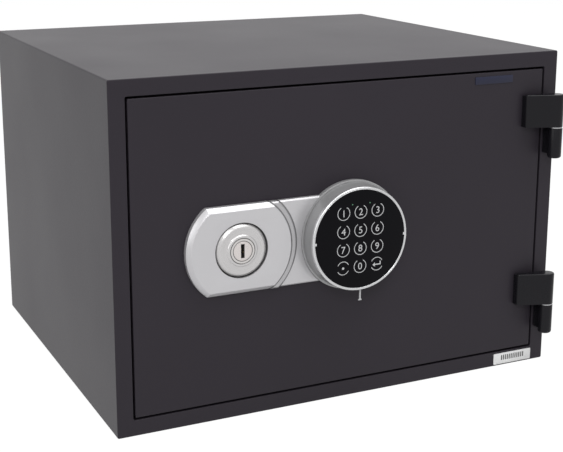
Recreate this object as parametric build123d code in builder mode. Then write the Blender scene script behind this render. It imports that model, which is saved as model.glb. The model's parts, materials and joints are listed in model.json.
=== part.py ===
from build123d import *
import math
import os

os.makedirs("parts", exist_ok=True)

# A surface-mounted, fire-resistant home safe with a round keypad dial and a key lock.
# Millimetres, +Z up. The origin is the middle of the underside. The door faces -Y and its hinges are at +X.

# Case
case_width = 445.0
case_depth = 380.0
case_height = 310.0
case_sheet = 2.0
case_edge_radius = 1.5
case_front_radius = 0.9
rim_width = 14.5
rim_corner_radius = 1.5
rim_edge_radius = 0.5
jamb_sheet = 1.5
ledge_width = 15.5
side_wall = 46.5
top_wall = 44.0
back_wall = 46.0
liner_sheet = 1.2
contact_gap = 0.3

# Floor anchors
anchor_spacing = 200.0
anchor_setback = 20.0
anchor_hole_radius = 6.0
sleeve_wall = 2.0

# Shelf
shelf_height = 152.0
shelf_depth = 205.0
shelf_sheet = 1.2
shelf_lip = 12.0
shelf_side_gap = 1.0
shelf_back_gap = 2.0
rail_width = 10.0
rail_sheet = 1.5
rail_height = 14.0
rail_front_setback = 24.0
rail_back_setback = 12.0

# Door
door_gap = 2.0
door_depth = 80.0
door_rear_gap = 4.0
door_corner_radius = 1.0
door_edge_radius = 0.8
pan_depth = 20.0
pan_sheet = 1.5
door_sheet = 2.0
seal_inset = 3.0
seal_width = 8.0
seal_thickness = 2.4
lock_side_clearance = 14.5
hinge_side_clearance = 2.5
plug_clearance = 3.0
plug_sheet = 1.5
plug_lip = 10.0
cover_sheet = 2.0
mechanism_sheet = 2.0
cover_screw_radius = 2.0
cover_screw_reach = 4.5

# Hinges
pin_inset = 7.5
pin_proud = 12.2
pin_radius = 3.0
pin_fit = 0.05
barrel_radius = 6.6
block_height = 31.0
knuckle_height = 29.0
washer_thickness = 1.5
upper_hinge_drop = 39.5
lower_hinge_base = 32.5
block_reach = 31.0
block_nose_radius = 3.0
block_nose_proud = 8.0
block_foot = 13.0
knuckle_arm_width = 10.0
hinge_edge_radius = 1.2
knuckle_end_radius = 2.4
pin_end_wall = 2.4

# Lock centres
lock_height = 156.5
fixed_fit = 0.02
running_fit = 0.05

# Lock plate
pad_radius = 50.0
pad_height = 8.5
pad_step_radius = 48.5
band_radius = 54.0
band_height = 7.0
strip_height = 5.0
plate_half_height = 39.3
pad_bevel = 4.0
strip_bevel = 1.4

# Key lock
rosette_radius = 23.8
rosette_gap = 0.7
rosette_height = 10.5
rosette_bevel = 3.6
rosette_dish = 0.9
rosette_lip = 3.0
cylinder_head_radius = 11.4
cylinder_radius = 10.4
cylinder_length = 26.0
key_plug_radius = 8.6
keyway_width = 3.4
keyway_height = 12.4
keyway_depth = 14.0
nut_width = 28.0
nut_thickness = 4.0
tail_radius = 3.0
tail_tube_wall = 1.5
tail_tube_room = 3.0

# Dial
dial_radius = 47.6
dial_draft = 1.0
dial_proud = 21.0
dial_base_radius = 50.4
dial_base_height = 4.8
dial_base_wall = 3.5
dial_gap = 0.4
dial_wall = 2.0
dial_rear_wall = 1.2
bezel_width = 2.5
bezel_bevel = 1.0
bezel_inner_bevel = 0.6
glass_recess = 0.4
glass_thickness = 1.4
board_thickness = 1.2
hub_radius = 9.0
hub_depth = 7.0
cell_radius = 5.25
cell_length = 44.5
cell_pitch = 11.2
cell_drop = 20.0
tray_wall = 2.8
tray_lip = 1.4
tab_offset = 2.4
tab_length = 9.8
tab_width = 1.4
tab_thickness = 1.2
tab_foot = 3.2

# Spindle and bolt work
spindle_radius = 4.0
spindle_tail = 10.0
clip_thickness = 2.0
clip_width = 3.0
bushing_wall = 3.0
bushing_length = 14.0
bushing_flange = 2.5
bushing_flange_thickness = 1.5
spindle_tube_wall = 1.5
bolt_setback = 20.0
bolt_spread = 140.0
bolt_radius = 8.0
bolt_rest_proud = 3.0
bolt_tip_bevel = 1.5
bolt_screw_radius = 2.0
bolt_screw_depth = 16.0
bolt_screw_head = 2.0
bolt_hole_clearance = 0.8
bar_thickness = 6.0
bar_width = 16.0
bar_overhang = 12.0
bar_clearance = 2.0
arm_height = 14.6
guide_length = 9.0
guide_half_height = 14.0
guide_rear_wall = 2.0
plate_to_bar = 11.0
gear_module = 1.5
gear_teeth = 20
gear_width = 7.0
gear_backlash = 0.3
pressure_angle = 20.0
post_radius = 3.0
post_collar = 2.0
post_head = 3.0
post_slot_clearance = 0.3
first_post_offset = 84.0
second_post_offset = 20.0
key_lug_drop = 10.9
cam_reach = 15.4
cam_half_width = 3.5
cam_hub_radius = 5.2
solenoid_offset = 50.0
solenoid_width = 26.0
solenoid_height = 34.0
solenoid_depth = 23.0
solenoid_end_wall = 2.0
plunger_radius = 3.0
plunger_length = 30.0
plunger_travel = 6.0
plunger_lug_height = 7.0
lug_clearance = 0.5
spring_wire = 0.6
fixed_bolt_radius = 6.0
fixed_bolt_reach = 9.0
fixed_bolt_head = 3.0
strike_thickness = 3.0
strike_margin = 14.0
strike_side_margin = 7.0
strike_pocket = 18.0
bolt_swing_room = 3.5
cable_radius = 2.0
cable_offset = 14.0
cable_rise = 37.0
cable_tube_wall = 1.0

# Labels
badge_width = 41.7
badge_height = 7.0
badge_thickness = 0.6
badge_corner_radius = 0.6
badge_side_inset = 34.5
badge_top_inset = 3.6
label_width = 44.0
label_height = 11.2
label_thickness = 0.3
label_corner_radius = 1.0
label_side_inset = 14.2
label_bottom_inset = 1.4

# Planes of the case and its opening
front_y = -case_depth / 2
back_y = case_depth / 2
half_width = case_width / 2
opening_half = half_width - rim_width
opening_low = rim_width
opening_high = case_height - rim_width
seat_y = front_y + pan_depth + seal_thickness + contact_gap
throat_half = opening_half - ledge_width
throat_low = opening_low + ledge_width
throat_high = opening_high - ledge_width
inner_front_y = front_y + door_depth + door_rear_gap
inner_back_y = back_y - back_wall
inner_half = half_width - side_wall
inner_low = top_wall
inner_high = case_height - top_wall
middle_z = case_height / 2

# Planes of the door
pan_half = opening_half - door_gap
pan_low = opening_low + door_gap
pan_high = opening_high - door_gap
pan_rear_y = front_y + pan_depth
skin_back_y = front_y + door_sheet
plug_left = -throat_half + lock_side_clearance
plug_right = throat_half - hinge_side_clearance
plug_low = throat_low + plug_clearance
plug_high = throat_high - plug_clearance
plug_middle = (plug_left + plug_right) / 2
door_rear_y = front_y + door_depth
cover_front_y = door_rear_y - cover_sheet
bolt_y = door_rear_y - bolt_setback
bar_front_y = bolt_y - bar_thickness / 2
bar_rear_y = bolt_y + bar_thickness / 2
mechanism_rear_y = bar_front_y - plate_to_bar
mechanism_front_y = mechanism_rear_y - mechanism_sheet
gear_front_y = bolt_y - gear_width / 2
gear_rear_y = bolt_y + gear_width / 2

# Places of the lock and the bolt work
dial_spot = (0.0, lock_height)
dial_front_y = front_y - dial_proud
dial_base_y = front_y - dial_base_height
dial_rear_y = dial_base_y - dial_gap
bezel_rear_y = dial_front_y + glass_recess + glass_thickness + board_thickness
glass_radius = dial_radius - bezel_width
tray_front_y = bezel_rear_y + contact_gap
tray_rear_y = dial_rear_y - dial_rear_wall - contact_gap
pitch_radius = gear_module * gear_teeth / 2
tooth_depth = 1.25 * gear_module
tooth_half_width = (math.pi * gear_module / 2 - gear_backlash) / 2
bolt_throw = pitch_radius * math.pi / 2
rack_line_z = lock_height + pitch_radius
arm_low = rack_line_z + tooth_depth
arm_high = arm_low + arm_height
arm_middle = (arm_low + arm_high) / 2
bar_left = plug_left + plug_sheet + guide_length + bar_clearance + bolt_throw
bar_right = bar_left + bar_width
key_x = bar_right + bar_clearance / 2 + cam_reach
key_spot = (key_x, lock_height)
bolt_heights = (lock_height - bolt_spread / 2, lock_height + bolt_spread / 2)
rack_pitch = math.pi * gear_module
arm_right = bolt_throw + 3 * rack_pitch
post_places = (-first_post_offset, -second_post_offset)
solenoid_x = -solenoid_offset
plunger_tip_z = arm_high + plunger_lug_height + 2 * lug_clearance
pin_x = half_width - pin_inset
pin_y = front_y - pin_proud
hinge_height = knuckle_height + washer_thickness + block_height
upper_hinge_base = case_height - upper_hinge_drop - hinge_height
hinge_bases = {"upper": upper_hinge_base, "lower": lower_hinge_base}


def facing(y):
    """The plane at depth y whose sketches read x to the right and z up, and extrude towards the front."""
    return Plane.XZ.offset(-y)


def block(x_ends, y_ends, z_ends, mode=Mode.ADD):
    """A box between two values on each axis."""
    ends = (x_ends, y_ends, z_ends)
    with Locations(tuple((low + high) / 2 for low, high in ends)):
        Box(*[abs(high - low) for low, high in ends], mode=mode)


def rod(axis, radius, ends, across, mode=Mode.ADD):
    """A cylinder along an axis between two values on it, at the place that across gives on the other two."""
    middle = (ends[0] + ends[1]) / 2
    turns = {"x": (0, 90, 0), "y": (90, 0, 0), "z": (0, 0, 0)}
    places = {
        "x": (middle, across[0], across[1]),
        "y": (across[0], middle, across[1]),
        "z": (across[0], across[1], middle),
    }
    with Locations(places[axis]):
        Cylinder(radius, abs(ends[1] - ends[0]), rotation=turns[axis], mode=mode)


def turned(x, points, mode=Mode.ADD):
    """A solid turned about the line along Y at x and the lock's height, from points of radius and y."""
    with BuildSketch(Plane((x, 0, lock_height))) as half_section:
        with BuildLine():
            Polyline(*points, close=True)
        make_face()
    revolve(half_section.sketch, axis=Axis((x, 0, lock_height), (0, 1, 0)), mode=mode)


def front_edges(part):
    """The edges of a part's foremost face."""
    return part.faces().sort_by(Axis.Y)[0].edges()


# Outer case: one folded sheet with a rim round the door opening, open at the back
with BuildPart() as outer_case:
    with BuildSketch(facing(back_y)):
        with Locations((0, middle_z)):
            RectangleRounded(case_width, case_height, case_edge_radius)
    extrude(amount=case_depth)
    fillet(front_edges(outer_case), case_front_radius)
    block(
        (-half_width + case_sheet, half_width - case_sheet),
        (front_y + case_sheet, back_y),
        (case_sheet, case_height - case_sheet),
        mode=Mode.SUBTRACT,
    )
    with BuildSketch(facing(front_y + case_sheet)):
        with Locations((0, middle_z)):
            RectangleRounded(2 * opening_half, opening_high - opening_low, rim_corner_radius)
    extrude(amount=case_sheet, mode=Mode.SUBTRACT)
    front_face = outer_case.faces().sort_by(Axis.Y)[0]
    fillet(front_face.inner_wires().edges(), rim_edge_radius)
    for side in (-1, 1):
        anchor = (side * anchor_spacing / 2, anchor_setback)
        rod("z", anchor_hole_radius, (0, case_sheet), anchor, mode=Mode.SUBTRACT)
outer_case.part.label = "outer_case"
export_step(outer_case.part, "parts/outer_case.step")

# Back panel, set inside the case
with BuildPart() as back_panel:
    block(
        (-half_width + case_sheet, half_width - case_sheet),
        (back_y - case_sheet, back_y),
        (case_sheet, case_height - case_sheet),
    )
back_panel.part.label = "back_panel"
export_step(back_panel.part, "parts/back_panel.step")


def step_tube(half, low, high, y_ends, wall, mode=Mode.ADD):
    """A rectangular tube round the opening that half, low and high give, with its wall outside it."""
    block((-half - wall, half + wall), y_ends, (low - wall, high + wall), mode=mode)


# Door frame: the stepped jamb that the door closes into
hinge_slot_front = bolt_y - fixed_bolt_radius - bolt_swing_room
hinge_slot_rear = bolt_y + fixed_bolt_radius + bolt_hole_clearance
hinge_slot_half = fixed_bolt_radius + bolt_hole_clearance
with BuildPart() as door_frame:
    opening_jamb_y = (front_y + case_sheet, seat_y + jamb_sheet)
    step_tube(opening_half, opening_low, opening_high, opening_jamb_y, jamb_sheet)
    step_tube(throat_half, throat_low, throat_high, (seat_y, inner_front_y + jamb_sheet), jamb_sheet)
    step_tube(opening_half, opening_low, opening_high, (front_y, seat_y), 0, mode=Mode.SUBTRACT)
    step_tube(throat_half, throat_low, throat_high, (front_y, inner_front_y), 0, mode=Mode.SUBTRACT)
    step_tube(inner_half, inner_low, inner_high, (front_y, inner_back_y), 0, mode=Mode.SUBTRACT)
    for z in bolt_heights:
        rod(
            "x",
            bolt_radius + bolt_hole_clearance,
            (-throat_half - jamb_sheet, -throat_half),
            (bolt_y, z),
            mode=Mode.SUBTRACT,
        )
        block(
            (throat_half, throat_half + jamb_sheet),
            (hinge_slot_front, hinge_slot_rear),
            (z - hinge_slot_half, z + hinge_slot_half),
            mode=Mode.SUBTRACT,
        )
door_frame.part.label = "door_frame"
export_step(door_frame.part, "parts/door_frame.step")

# Strike plates behind the jambs
strike_low = bolt_heights[0] - bolt_radius - strike_margin
strike_high = bolt_heights[1] + bolt_radius + strike_margin
strike_y = (hinge_slot_front - strike_side_margin, hinge_slot_rear + strike_side_margin)
strike_face = throat_half + jamb_sheet
strike_back = strike_face + strike_thickness
with BuildPart() as lock_strike:
    block((-strike_back, -strike_face), strike_y, (strike_low, strike_high))
    for z in bolt_heights:
        rod(
            "x",
            bolt_radius + bolt_hole_clearance,
            (-strike_back, -strike_face),
            (bolt_y, z),
            mode=Mode.SUBTRACT,
        )
lock_strike.part.label = "lock_strike"
export_step(lock_strike.part, "parts/lock_strike.step")

with BuildPart() as hinge_strike:
    block((strike_face, strike_back), strike_y, (strike_low, strike_high))
    for z in bolt_heights:
        block(
            (strike_face, strike_back),
            (hinge_slot_front, hinge_slot_rear),
            (z - hinge_slot_half, z + hinge_slot_half),
            mode=Mode.SUBTRACT,
        )
hinge_strike.part.label = "hinge_strike"
export_step(hinge_strike.part, "parts/hinge_strike.step")

# Inner liner: the box that lines the storage space
liner_front_y = inner_front_y + jamb_sheet
with BuildPart() as inner_liner:
    block(
        (-inner_half - liner_sheet, inner_half + liner_sheet),
        (liner_front_y, inner_back_y + liner_sheet),
        (inner_low - liner_sheet, inner_high + liner_sheet),
    )
    block(
        (-inner_half, inner_half),
        (liner_front_y, inner_back_y),
        (inner_low, inner_high),
        mode=Mode.SUBTRACT,
    )
    for side in (-1, 1):
        anchor = (side * anchor_spacing / 2, anchor_setback)
        rod("z", anchor_hole_radius, (inner_low - liner_sheet, inner_low), anchor, mode=Mode.SUBTRACT)
inner_liner.part.label = "inner_liner"
export_step(inner_liner.part, "parts/inner_liner.step")

# Fire-resistant fill between the case and the liner, with pockets for the bolts and bores for the sleeves
sleeve_radius = anchor_hole_radius + sleeve_wall
with BuildPart() as body_insulation:
    block(
        (-half_width + case_sheet, half_width - case_sheet),
        (front_y + case_sheet, back_y - case_sheet),
        (case_sheet, case_height - case_sheet),
    )
    step_tube(
        opening_half,
        opening_low,
        opening_high,
        (front_y, seat_y + jamb_sheet),
        jamb_sheet,
        mode=Mode.SUBTRACT,
    )
    step_tube(
        throat_half,
        throat_low,
        throat_high,
        (front_y, inner_front_y + jamb_sheet),
        jamb_sheet,
        mode=Mode.SUBTRACT,
    )
    step_tube(
        inner_half,
        inner_low,
        inner_high,
        (liner_front_y, inner_back_y + liner_sheet),
        liner_sheet,
        mode=Mode.SUBTRACT,
    )
    for face, back in ((-strike_face, -strike_back), (strike_face, strike_back)):
        block((min(face, back), max(face, back)), strike_y, (strike_low, strike_high), mode=Mode.SUBTRACT)
    for z in bolt_heights:
        rod(
            "x",
            bolt_radius + bolt_hole_clearance,
            (-throat_half - strike_pocket, -throat_half),
            (bolt_y, z),
            mode=Mode.SUBTRACT,
        )
        block(
            (throat_half, throat_half + fixed_bolt_reach),
            (hinge_slot_front, hinge_slot_rear),
            (z - hinge_slot_half, z + hinge_slot_half),
            mode=Mode.SUBTRACT,
        )
    for side in (-1, 1):
        anchor = (side * anchor_spacing / 2, anchor_setback)
        rod("z", sleeve_radius, (0, inner_low), anchor, mode=Mode.SUBTRACT)
body_insulation.part.label = "body_insulation"
export_step(body_insulation.part, "parts/body_insulation.step")

# Steel sleeves that carry the anchor bolts through the floor
with BuildPart() as anchor_sleeves:
    for side in (-1, 1):
        anchor = (side * anchor_spacing / 2, anchor_setback)
        sleeve_ends = (case_sheet, inner_low - liner_sheet)
        rod("z", sleeve_radius, sleeve_ends, anchor)
        rod("z", anchor_hole_radius, sleeve_ends, anchor, mode=Mode.SUBTRACT)
anchor_sleeves.part.label = "anchor_sleeves"
export_step(anchor_sleeves.part, "parts/anchor_sleeves.step")

# Shelf: a plate with its front edge folded down and its back edge folded up
shelf_back_y = inner_back_y - shelf_back_gap
shelf_front_y = shelf_back_y - shelf_depth
shelf_half = inner_half - shelf_side_gap
with BuildPart() as shelf:
    block(
        (-shelf_half, shelf_half),
        (shelf_front_y, shelf_back_y),
        (shelf_height, shelf_height + shelf_sheet),
    )
    block(
        (-shelf_half, shelf_half),
        (shelf_front_y, shelf_front_y + shelf_sheet),
        (shelf_height - shelf_lip, shelf_height),
    )
    block(
        (-shelf_half, shelf_half),
        (shelf_back_y - shelf_sheet, shelf_back_y),
        (shelf_height, shelf_height + shelf_lip),
    )
shelf.part.label = "shelf"
export_step(shelf.part, "parts/shelf.step")

# Angle rails that carry the shelf
with BuildPart() as shelf_rails:
    rail_y = (shelf_front_y + rail_front_setback, shelf_back_y - rail_back_setback)
    for side in (-1, 1):
        wall_x = side * inner_half
        inner_x = side * (inner_half - rail_sheet)
        tip_x = side * (inner_half - rail_width)
        block(
            (min(wall_x, inner_x), max(wall_x, inner_x)),
            rail_y,
            (shelf_height - rail_height, shelf_height),
        )
        block((min(wall_x, tip_x), max(wall_x, tip_x)), rail_y, (shelf_height - rail_sheet, shelf_height))
shelf_rails.part.label = "shelf_rails"
export_step(shelf_rails.part, "parts/shelf_rails.step")

# Hinges: each is a block on the door that stands on a knuckle on the rim, on a washer and a pin
for hinge, base in hinge_bases.items():
    knuckle_top = base + knuckle_height
    block_low = knuckle_top + washer_thickness
    with BuildPart() as hinge_block:
        with BuildSketch(Plane.XY.offset(block_low)):
            with Locations((pin_x, pin_y)):
                Circle(barrel_radius)
            with Locations(
                (pin_x - block_reach + block_nose_radius, front_y - block_nose_proud + block_nose_radius)
            ):
                Circle(block_nose_radius)
            make_hull()
        extrude(amount=block_height)
        fillet(hinge_block.faces().sort_by(Axis.Z)[-1].edges(), hinge_edge_radius)
        block(
            (pin_x - block_reach, pin_x - block_reach + block_foot),
            (front_y - block_nose_proud + block_nose_radius, front_y),
            (block_low, block_low + block_height - hinge_edge_radius),
        )
        rod(
            "z",
            pin_radius + pin_fit,
            (block_low, block_low + block_height - pin_end_wall),
            (pin_x, pin_y),
            mode=Mode.SUBTRACT,
        )
    hinge_block.part.label = f"{hinge}_hinge_block"
    export_step(hinge_block.part, f"parts/{hinge}_hinge_block.step")

    with BuildPart() as hinge_knuckle:
        rod("z", barrel_radius, (base, knuckle_top), (pin_x, pin_y))
        fillet(hinge_knuckle.faces().sort_by(Axis.Z)[0].edges(), knuckle_end_radius)
        block(
            (pin_x - knuckle_arm_width / 2, pin_x + knuckle_arm_width / 2),
            (pin_y, front_y),
            (base + knuckle_end_radius + hinge_edge_radius, knuckle_top),
        )
        rod(
            "z",
            pin_radius + fixed_fit,
            (base + pin_end_wall, knuckle_top),
            (pin_x, pin_y),
            mode=Mode.SUBTRACT,
        )
    hinge_knuckle.part.label = f"{hinge}_hinge_knuckle"
    export_step(hinge_knuckle.part, f"parts/{hinge}_hinge_knuckle.step")

with BuildPart() as hinge_washers:
    for base in hinge_bases.values():
        washer_ends = (base + knuckle_height, base + knuckle_height + washer_thickness)
        rod("z", barrel_radius - contact_gap, washer_ends, (pin_x, pin_y))
        rod("z", pin_radius + pin_fit, washer_ends, (pin_x, pin_y), mode=Mode.SUBTRACT)
hinge_washers.part.label = "hinge_washers"
export_step(hinge_washers.part, "parts/hinge_washers.step")

with BuildPart() as hinge_pins:
    for base in hinge_bases.values():
        block_top = base + hinge_height
        rod("z", pin_radius, (base + pin_end_wall, block_top - pin_end_wall - contact_gap), (pin_x, pin_y))
hinge_pins.part.label = "hinge_pins"
export_step(hinge_pins.part, "parts/hinge_pins.step")

# Blank stickers: one on the rim under the door, one at the top of the door
with BuildPart() as rim_label:
    label_right = half_width - label_side_inset
    with BuildSketch(facing(front_y)):
        with Locations((label_right - label_width / 2, label_bottom_inset + label_height / 2)):
            RectangleRounded(label_width, label_height, label_corner_radius)
    extrude(amount=label_thickness)
rim_label.part.label = "rim_label"
export_step(rim_label.part, "parts/rim_label.step")

with BuildPart() as door_badge:
    badge_right = pan_half - badge_side_inset
    badge_top = pan_high - badge_top_inset
    with BuildSketch(facing(front_y)):
        with Locations((badge_right - badge_width / 2, badge_top - badge_height / 2)):
            RectangleRounded(badge_width, badge_height, badge_corner_radius)
    extrude(amount=badge_thickness)
door_badge.part.label = "door_badge"
export_step(door_badge.part, "parts/door_badge.step")

# Door skin: the pan that closes flush with the case, pierced for the spindle, the key lock and the cable
spindle_hole_radius = spindle_radius + running_fit + bushing_wall
cable_spot = (cable_offset, lock_height + cable_rise)
cable_hole_radius = cable_radius + contact_gap
cable_tube_radius = cable_hole_radius + cable_tube_wall
with BuildPart() as door_skin:
    with BuildSketch(facing(pan_rear_y)):
        with Locations((0, middle_z)):
            RectangleRounded(2 * pan_half, pan_high - pan_low, door_corner_radius)
    extrude(amount=pan_depth)
    fillet(front_edges(door_skin), door_edge_radius)
    block(
        (-pan_half + pan_sheet, pan_half - pan_sheet),
        (skin_back_y, pan_rear_y),
        (pan_low + pan_sheet, pan_high - pan_sheet),
        mode=Mode.SUBTRACT,
    )
    for spot, radius in (
        (dial_spot, spindle_hole_radius + fixed_fit),
        (key_spot, cylinder_radius + fixed_fit),
        (cable_spot, cable_hole_radius),
    ):
        rod("y", radius, (front_y, skin_back_y), spot, mode=Mode.SUBTRACT)
door_skin.part.label = "door_skin"
export_step(door_skin.part, "parts/door_skin.step")

# Door liner: the flange inside the pan and the plug that fills the throat, open at the back
with BuildPart() as door_liner:
    block(
        (-pan_half + pan_sheet, pan_half - pan_sheet),
        (pan_rear_y - plug_sheet, pan_rear_y),
        (pan_low + pan_sheet, pan_high - pan_sheet),
    )
    block((plug_left, plug_right), (pan_rear_y - plug_sheet, cover_front_y), (plug_low, plug_high))
    block(
        (plug_left + plug_sheet, plug_right - plug_sheet),
        (pan_rear_y - plug_sheet, cover_front_y - plug_sheet),
        (plug_low + plug_sheet, plug_high - plug_sheet),
        mode=Mode.SUBTRACT,
    )
    block(
        (plug_left + plug_lip, plug_right - plug_lip),
        (cover_front_y - plug_sheet, cover_front_y),
        (plug_low + plug_lip, plug_high - plug_lip),
        mode=Mode.SUBTRACT,
    )
    for z in bolt_heights:
        rod(
            "x",
            bolt_radius + contact_gap,
            (plug_left, plug_left + plug_sheet),
            (bolt_y, z),
            mode=Mode.SUBTRACT,
        )
        rod(
            "x",
            fixed_bolt_radius + fixed_fit,
            (plug_right - plug_sheet, plug_right),
            (bolt_y, z),
            mode=Mode.SUBTRACT,
        )
    cover_screw_spots = [
        (x, z)
        for z in (plug_low + plug_lip / 2, plug_high - plug_lip / 2)
        for x in (plug_left + 2 * plug_lip, plug_middle, plug_right - 2 * plug_lip)
    ]
    for spot in cover_screw_spots:
        rod(
            "y",
            cover_screw_radius + fixed_fit,
            (cover_front_y - plug_sheet, cover_front_y),
            spot,
            mode=Mode.SUBTRACT,
        )
door_liner.part.label = "door_liner"
export_step(door_liner.part, "parts/door_liner.step")

# Back cover of the door and its screws
with BuildPart() as door_back_cover:
    with BuildSketch(facing(door_rear_y)):
        with Locations((plug_middle, (plug_low + plug_high) / 2)):
            RectangleRounded(
                plug_right - plug_left - 2 * plug_sheet,
                plug_high - plug_low - 2 * plug_sheet,
                door_corner_radius,
            )
    extrude(amount=cover_sheet)
    for spot in cover_screw_spots:
        rod("y", cover_screw_radius + fixed_fit, (cover_front_y, door_rear_y), spot, mode=Mode.SUBTRACT)
door_back_cover.part.label = "door_back_cover"
export_step(door_back_cover.part, "parts/door_back_cover.step")

with BuildPart() as cover_screws:
    for spot in cover_screw_spots:
        rod("y", cover_screw_radius, (cover_front_y - cover_screw_reach, door_rear_y), spot)
        rod("y", 2 * cover_screw_radius, (door_rear_y, door_rear_y + cover_screw_radius), spot)
cover_screws.part.label = "cover_screws"
export_step(cover_screws.part, "parts/cover_screws.step")

# Heat seal round the back of the pan
with BuildPart() as door_seal:
    with BuildSketch(facing(pan_rear_y + seal_thickness)):
        with Locations((0, middle_z)):
            seal_size = (2 * (pan_half - seal_inset), pan_high - pan_low - 2 * seal_inset)
            Rectangle(*seal_size)
            Rectangle(*[side - 2 * seal_width for side in seal_size], mode=Mode.SUBTRACT)
    extrude(amount=seal_thickness)
door_seal.part.label = "door_seal"
export_step(door_seal.part, "parts/door_seal.step")

# Fire-resistant fill of the door
spindle_tube_radius = spindle_hole_radius + spindle_tube_wall
nut_radius = nut_width / math.sqrt(3)
tail_tube_radius = tail_radius + tail_tube_room + tail_tube_wall
cylinder_back_y = front_y - rosette_height + cylinder_length
with BuildPart() as door_insulation:
    block(
        (-pan_half + pan_sheet, pan_half - pan_sheet),
        (skin_back_y, pan_rear_y - plug_sheet),
        (pan_low + pan_sheet, pan_high - pan_sheet),
    )
    block(
        (plug_left + plug_sheet, plug_right - plug_sheet),
        (pan_rear_y - plug_sheet, mechanism_front_y),
        (plug_low + plug_sheet, plug_high - plug_sheet),
    )
    rod("y", spindle_tube_radius, (skin_back_y, mechanism_front_y), dial_spot, mode=Mode.SUBTRACT)
    rod("y", cable_tube_radius, (skin_back_y, mechanism_front_y), cable_spot, mode=Mode.SUBTRACT)
    rod("y", nut_radius + contact_gap, (skin_back_y, cylinder_back_y), key_spot, mode=Mode.SUBTRACT)
    rod("y", tail_tube_radius, (cylinder_back_y, mechanism_front_y), key_spot, mode=Mode.SUBTRACT)
door_insulation.part.label = "door_insulation"
export_step(door_insulation.part, "parts/door_insulation.step")

# Lock plate: a lowered strip up to the dial, a stepped band and the raised pad round the key lock
def ribbon(x_ends, height, bevel):
    """A bar on the door's face as high as the lock plate, with its two long edges bevelled."""
    low = lock_height - plate_half_height
    high = lock_height + plate_half_height
    top_y = front_y - height
    with BuildSketch(Plane.YZ.offset(x_ends[0])) as section:
        with BuildLine():
            Polyline(
                (front_y, low),
                (top_y + bevel, low),
                (top_y, low + bevel),
                (top_y, high - bevel),
                (top_y + bevel, high),
                (front_y, high),
                close=True,
            )
        make_face()
    extrude(section.sketch, amount=x_ends[1] - x_ends[0])


def rounded_end(radius, height, bevel):
    """Keeps what lies within a radius of the key, under a bevel along that circle."""
    turned(
        key_x,
        [
            (0, front_y),
            (radius, front_y),
            (radius, front_y - height + bevel),
            (radius - bevel, front_y - height),
            (0, front_y - height),
        ],
        mode=Mode.INTERSECT,
    )


with BuildPart() as pad_left:
    ribbon((key_x - pad_radius, key_x), pad_height, pad_bevel)
    rounded_end(pad_radius, pad_height, pad_bevel)

with BuildPart() as pad_right:
    ribbon((key_x, key_x + pad_step_radius), pad_height, pad_bevel)
    rounded_end(pad_step_radius, pad_height, pad_height - band_height)

with BuildPart() as plate_band:
    ribbon((key_x, key_x + band_radius), band_height, strip_bevel)
    rounded_end(band_radius, band_height, band_height - strip_height)
    rod("y", pad_step_radius, (front_y - band_height, front_y), key_spot, mode=Mode.SUBTRACT)

with BuildPart() as lock_plate:
    ribbon((key_x, 0), strip_height, strip_bevel)
    add(pad_left.part)
    add(pad_right.part)
    add(plate_band.part)
    plate_y = (front_y - pad_height, front_y)
    rod("y", dial_base_radius + contact_gap, plate_y, dial_spot, mode=Mode.SUBTRACT)
    rod("y", rosette_radius + rosette_gap, plate_y, key_spot, mode=Mode.SUBTRACT)
lock_plate.part.label = "lock_plate"
export_step(lock_plate.part, "parts/lock_plate.step")

# Rosette round the key lock, bevelled and slightly dished
rosette_front_y = front_y - rosette_height
dish_radius = cylinder_head_radius + rosette_lip
with BuildPart() as key_rosette:
    turned(
        key_x,
        [
            (cylinder_head_radius + fixed_fit, front_y),
            (rosette_radius, front_y),
            (rosette_radius, rosette_front_y + rosette_bevel),
            (rosette_radius - rosette_bevel, rosette_front_y + rosette_dish),
            (dish_radius, rosette_front_y + 1.5 * rosette_dish),
            (dish_radius - rosette_dish, rosette_front_y),
            (cylinder_head_radius + fixed_fit, rosette_front_y),
        ],
    )
key_rosette.part.label = "key_rosette"
export_step(key_rosette.part, "parts/key_rosette.step")

# Key cylinder, its nut behind the skin, the plug that the key turns and the bar to the cam
with BuildPart() as key_cylinder:
    turned(
        key_x,
        [
            (key_plug_radius + running_fit, rosette_front_y),
            (cylinder_head_radius, rosette_front_y),
            (cylinder_head_radius, front_y),
            (cylinder_radius, front_y),
            (cylinder_radius, cylinder_back_y),
            (key_plug_radius + running_fit, cylinder_back_y),
        ],
    )
key_cylinder.part.label = "key_cylinder"
export_step(key_cylinder.part, "parts/key_cylinder.step")

with BuildPart() as cylinder_nut:
    with BuildSketch(facing(skin_back_y + nut_thickness)):
        with Locations(key_spot):
            RegularPolygon(nut_radius, 6)
            Circle(cylinder_radius + fixed_fit, mode=Mode.SUBTRACT)
    extrude(amount=nut_thickness)
cylinder_nut.part.label = "cylinder_nut"
export_step(cylinder_nut.part, "parts/cylinder_nut.step")

with BuildPart() as key_plug:
    rod("y", key_plug_radius, (rosette_front_y, cylinder_back_y), key_spot)
    block(
        (key_x - keyway_width / 2, key_x + keyway_width / 2),
        (rosette_front_y, rosette_front_y + keyway_depth),
        (lock_height - keyway_height / 2, lock_height + keyway_height / 2),
        mode=Mode.SUBTRACT,
    )
key_plug.part.label = "key_plug"
export_step(key_plug.part, "parts/key_plug.step")

with BuildPart() as key_tail_bar:
    rod("y", tail_radius, (cylinder_back_y, gear_rear_y + bar_clearance), key_spot)
key_tail_bar.part.label = "key_tail_bar"
export_step(key_tail_bar.part, "parts/key_tail_bar.step")

with BuildPart() as key_tail_tube:
    tail_tube_y = (cylinder_back_y, mechanism_front_y)
    rod("y", tail_tube_radius, tail_tube_y, key_spot)
    rod("y", tail_tube_radius - tail_tube_wall, tail_tube_y, key_spot, mode=Mode.SUBTRACT)
key_tail_tube.part.label = "key_tail_tube"
export_step(key_tail_tube.part, "parts/key_tail_tube.step")

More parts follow.
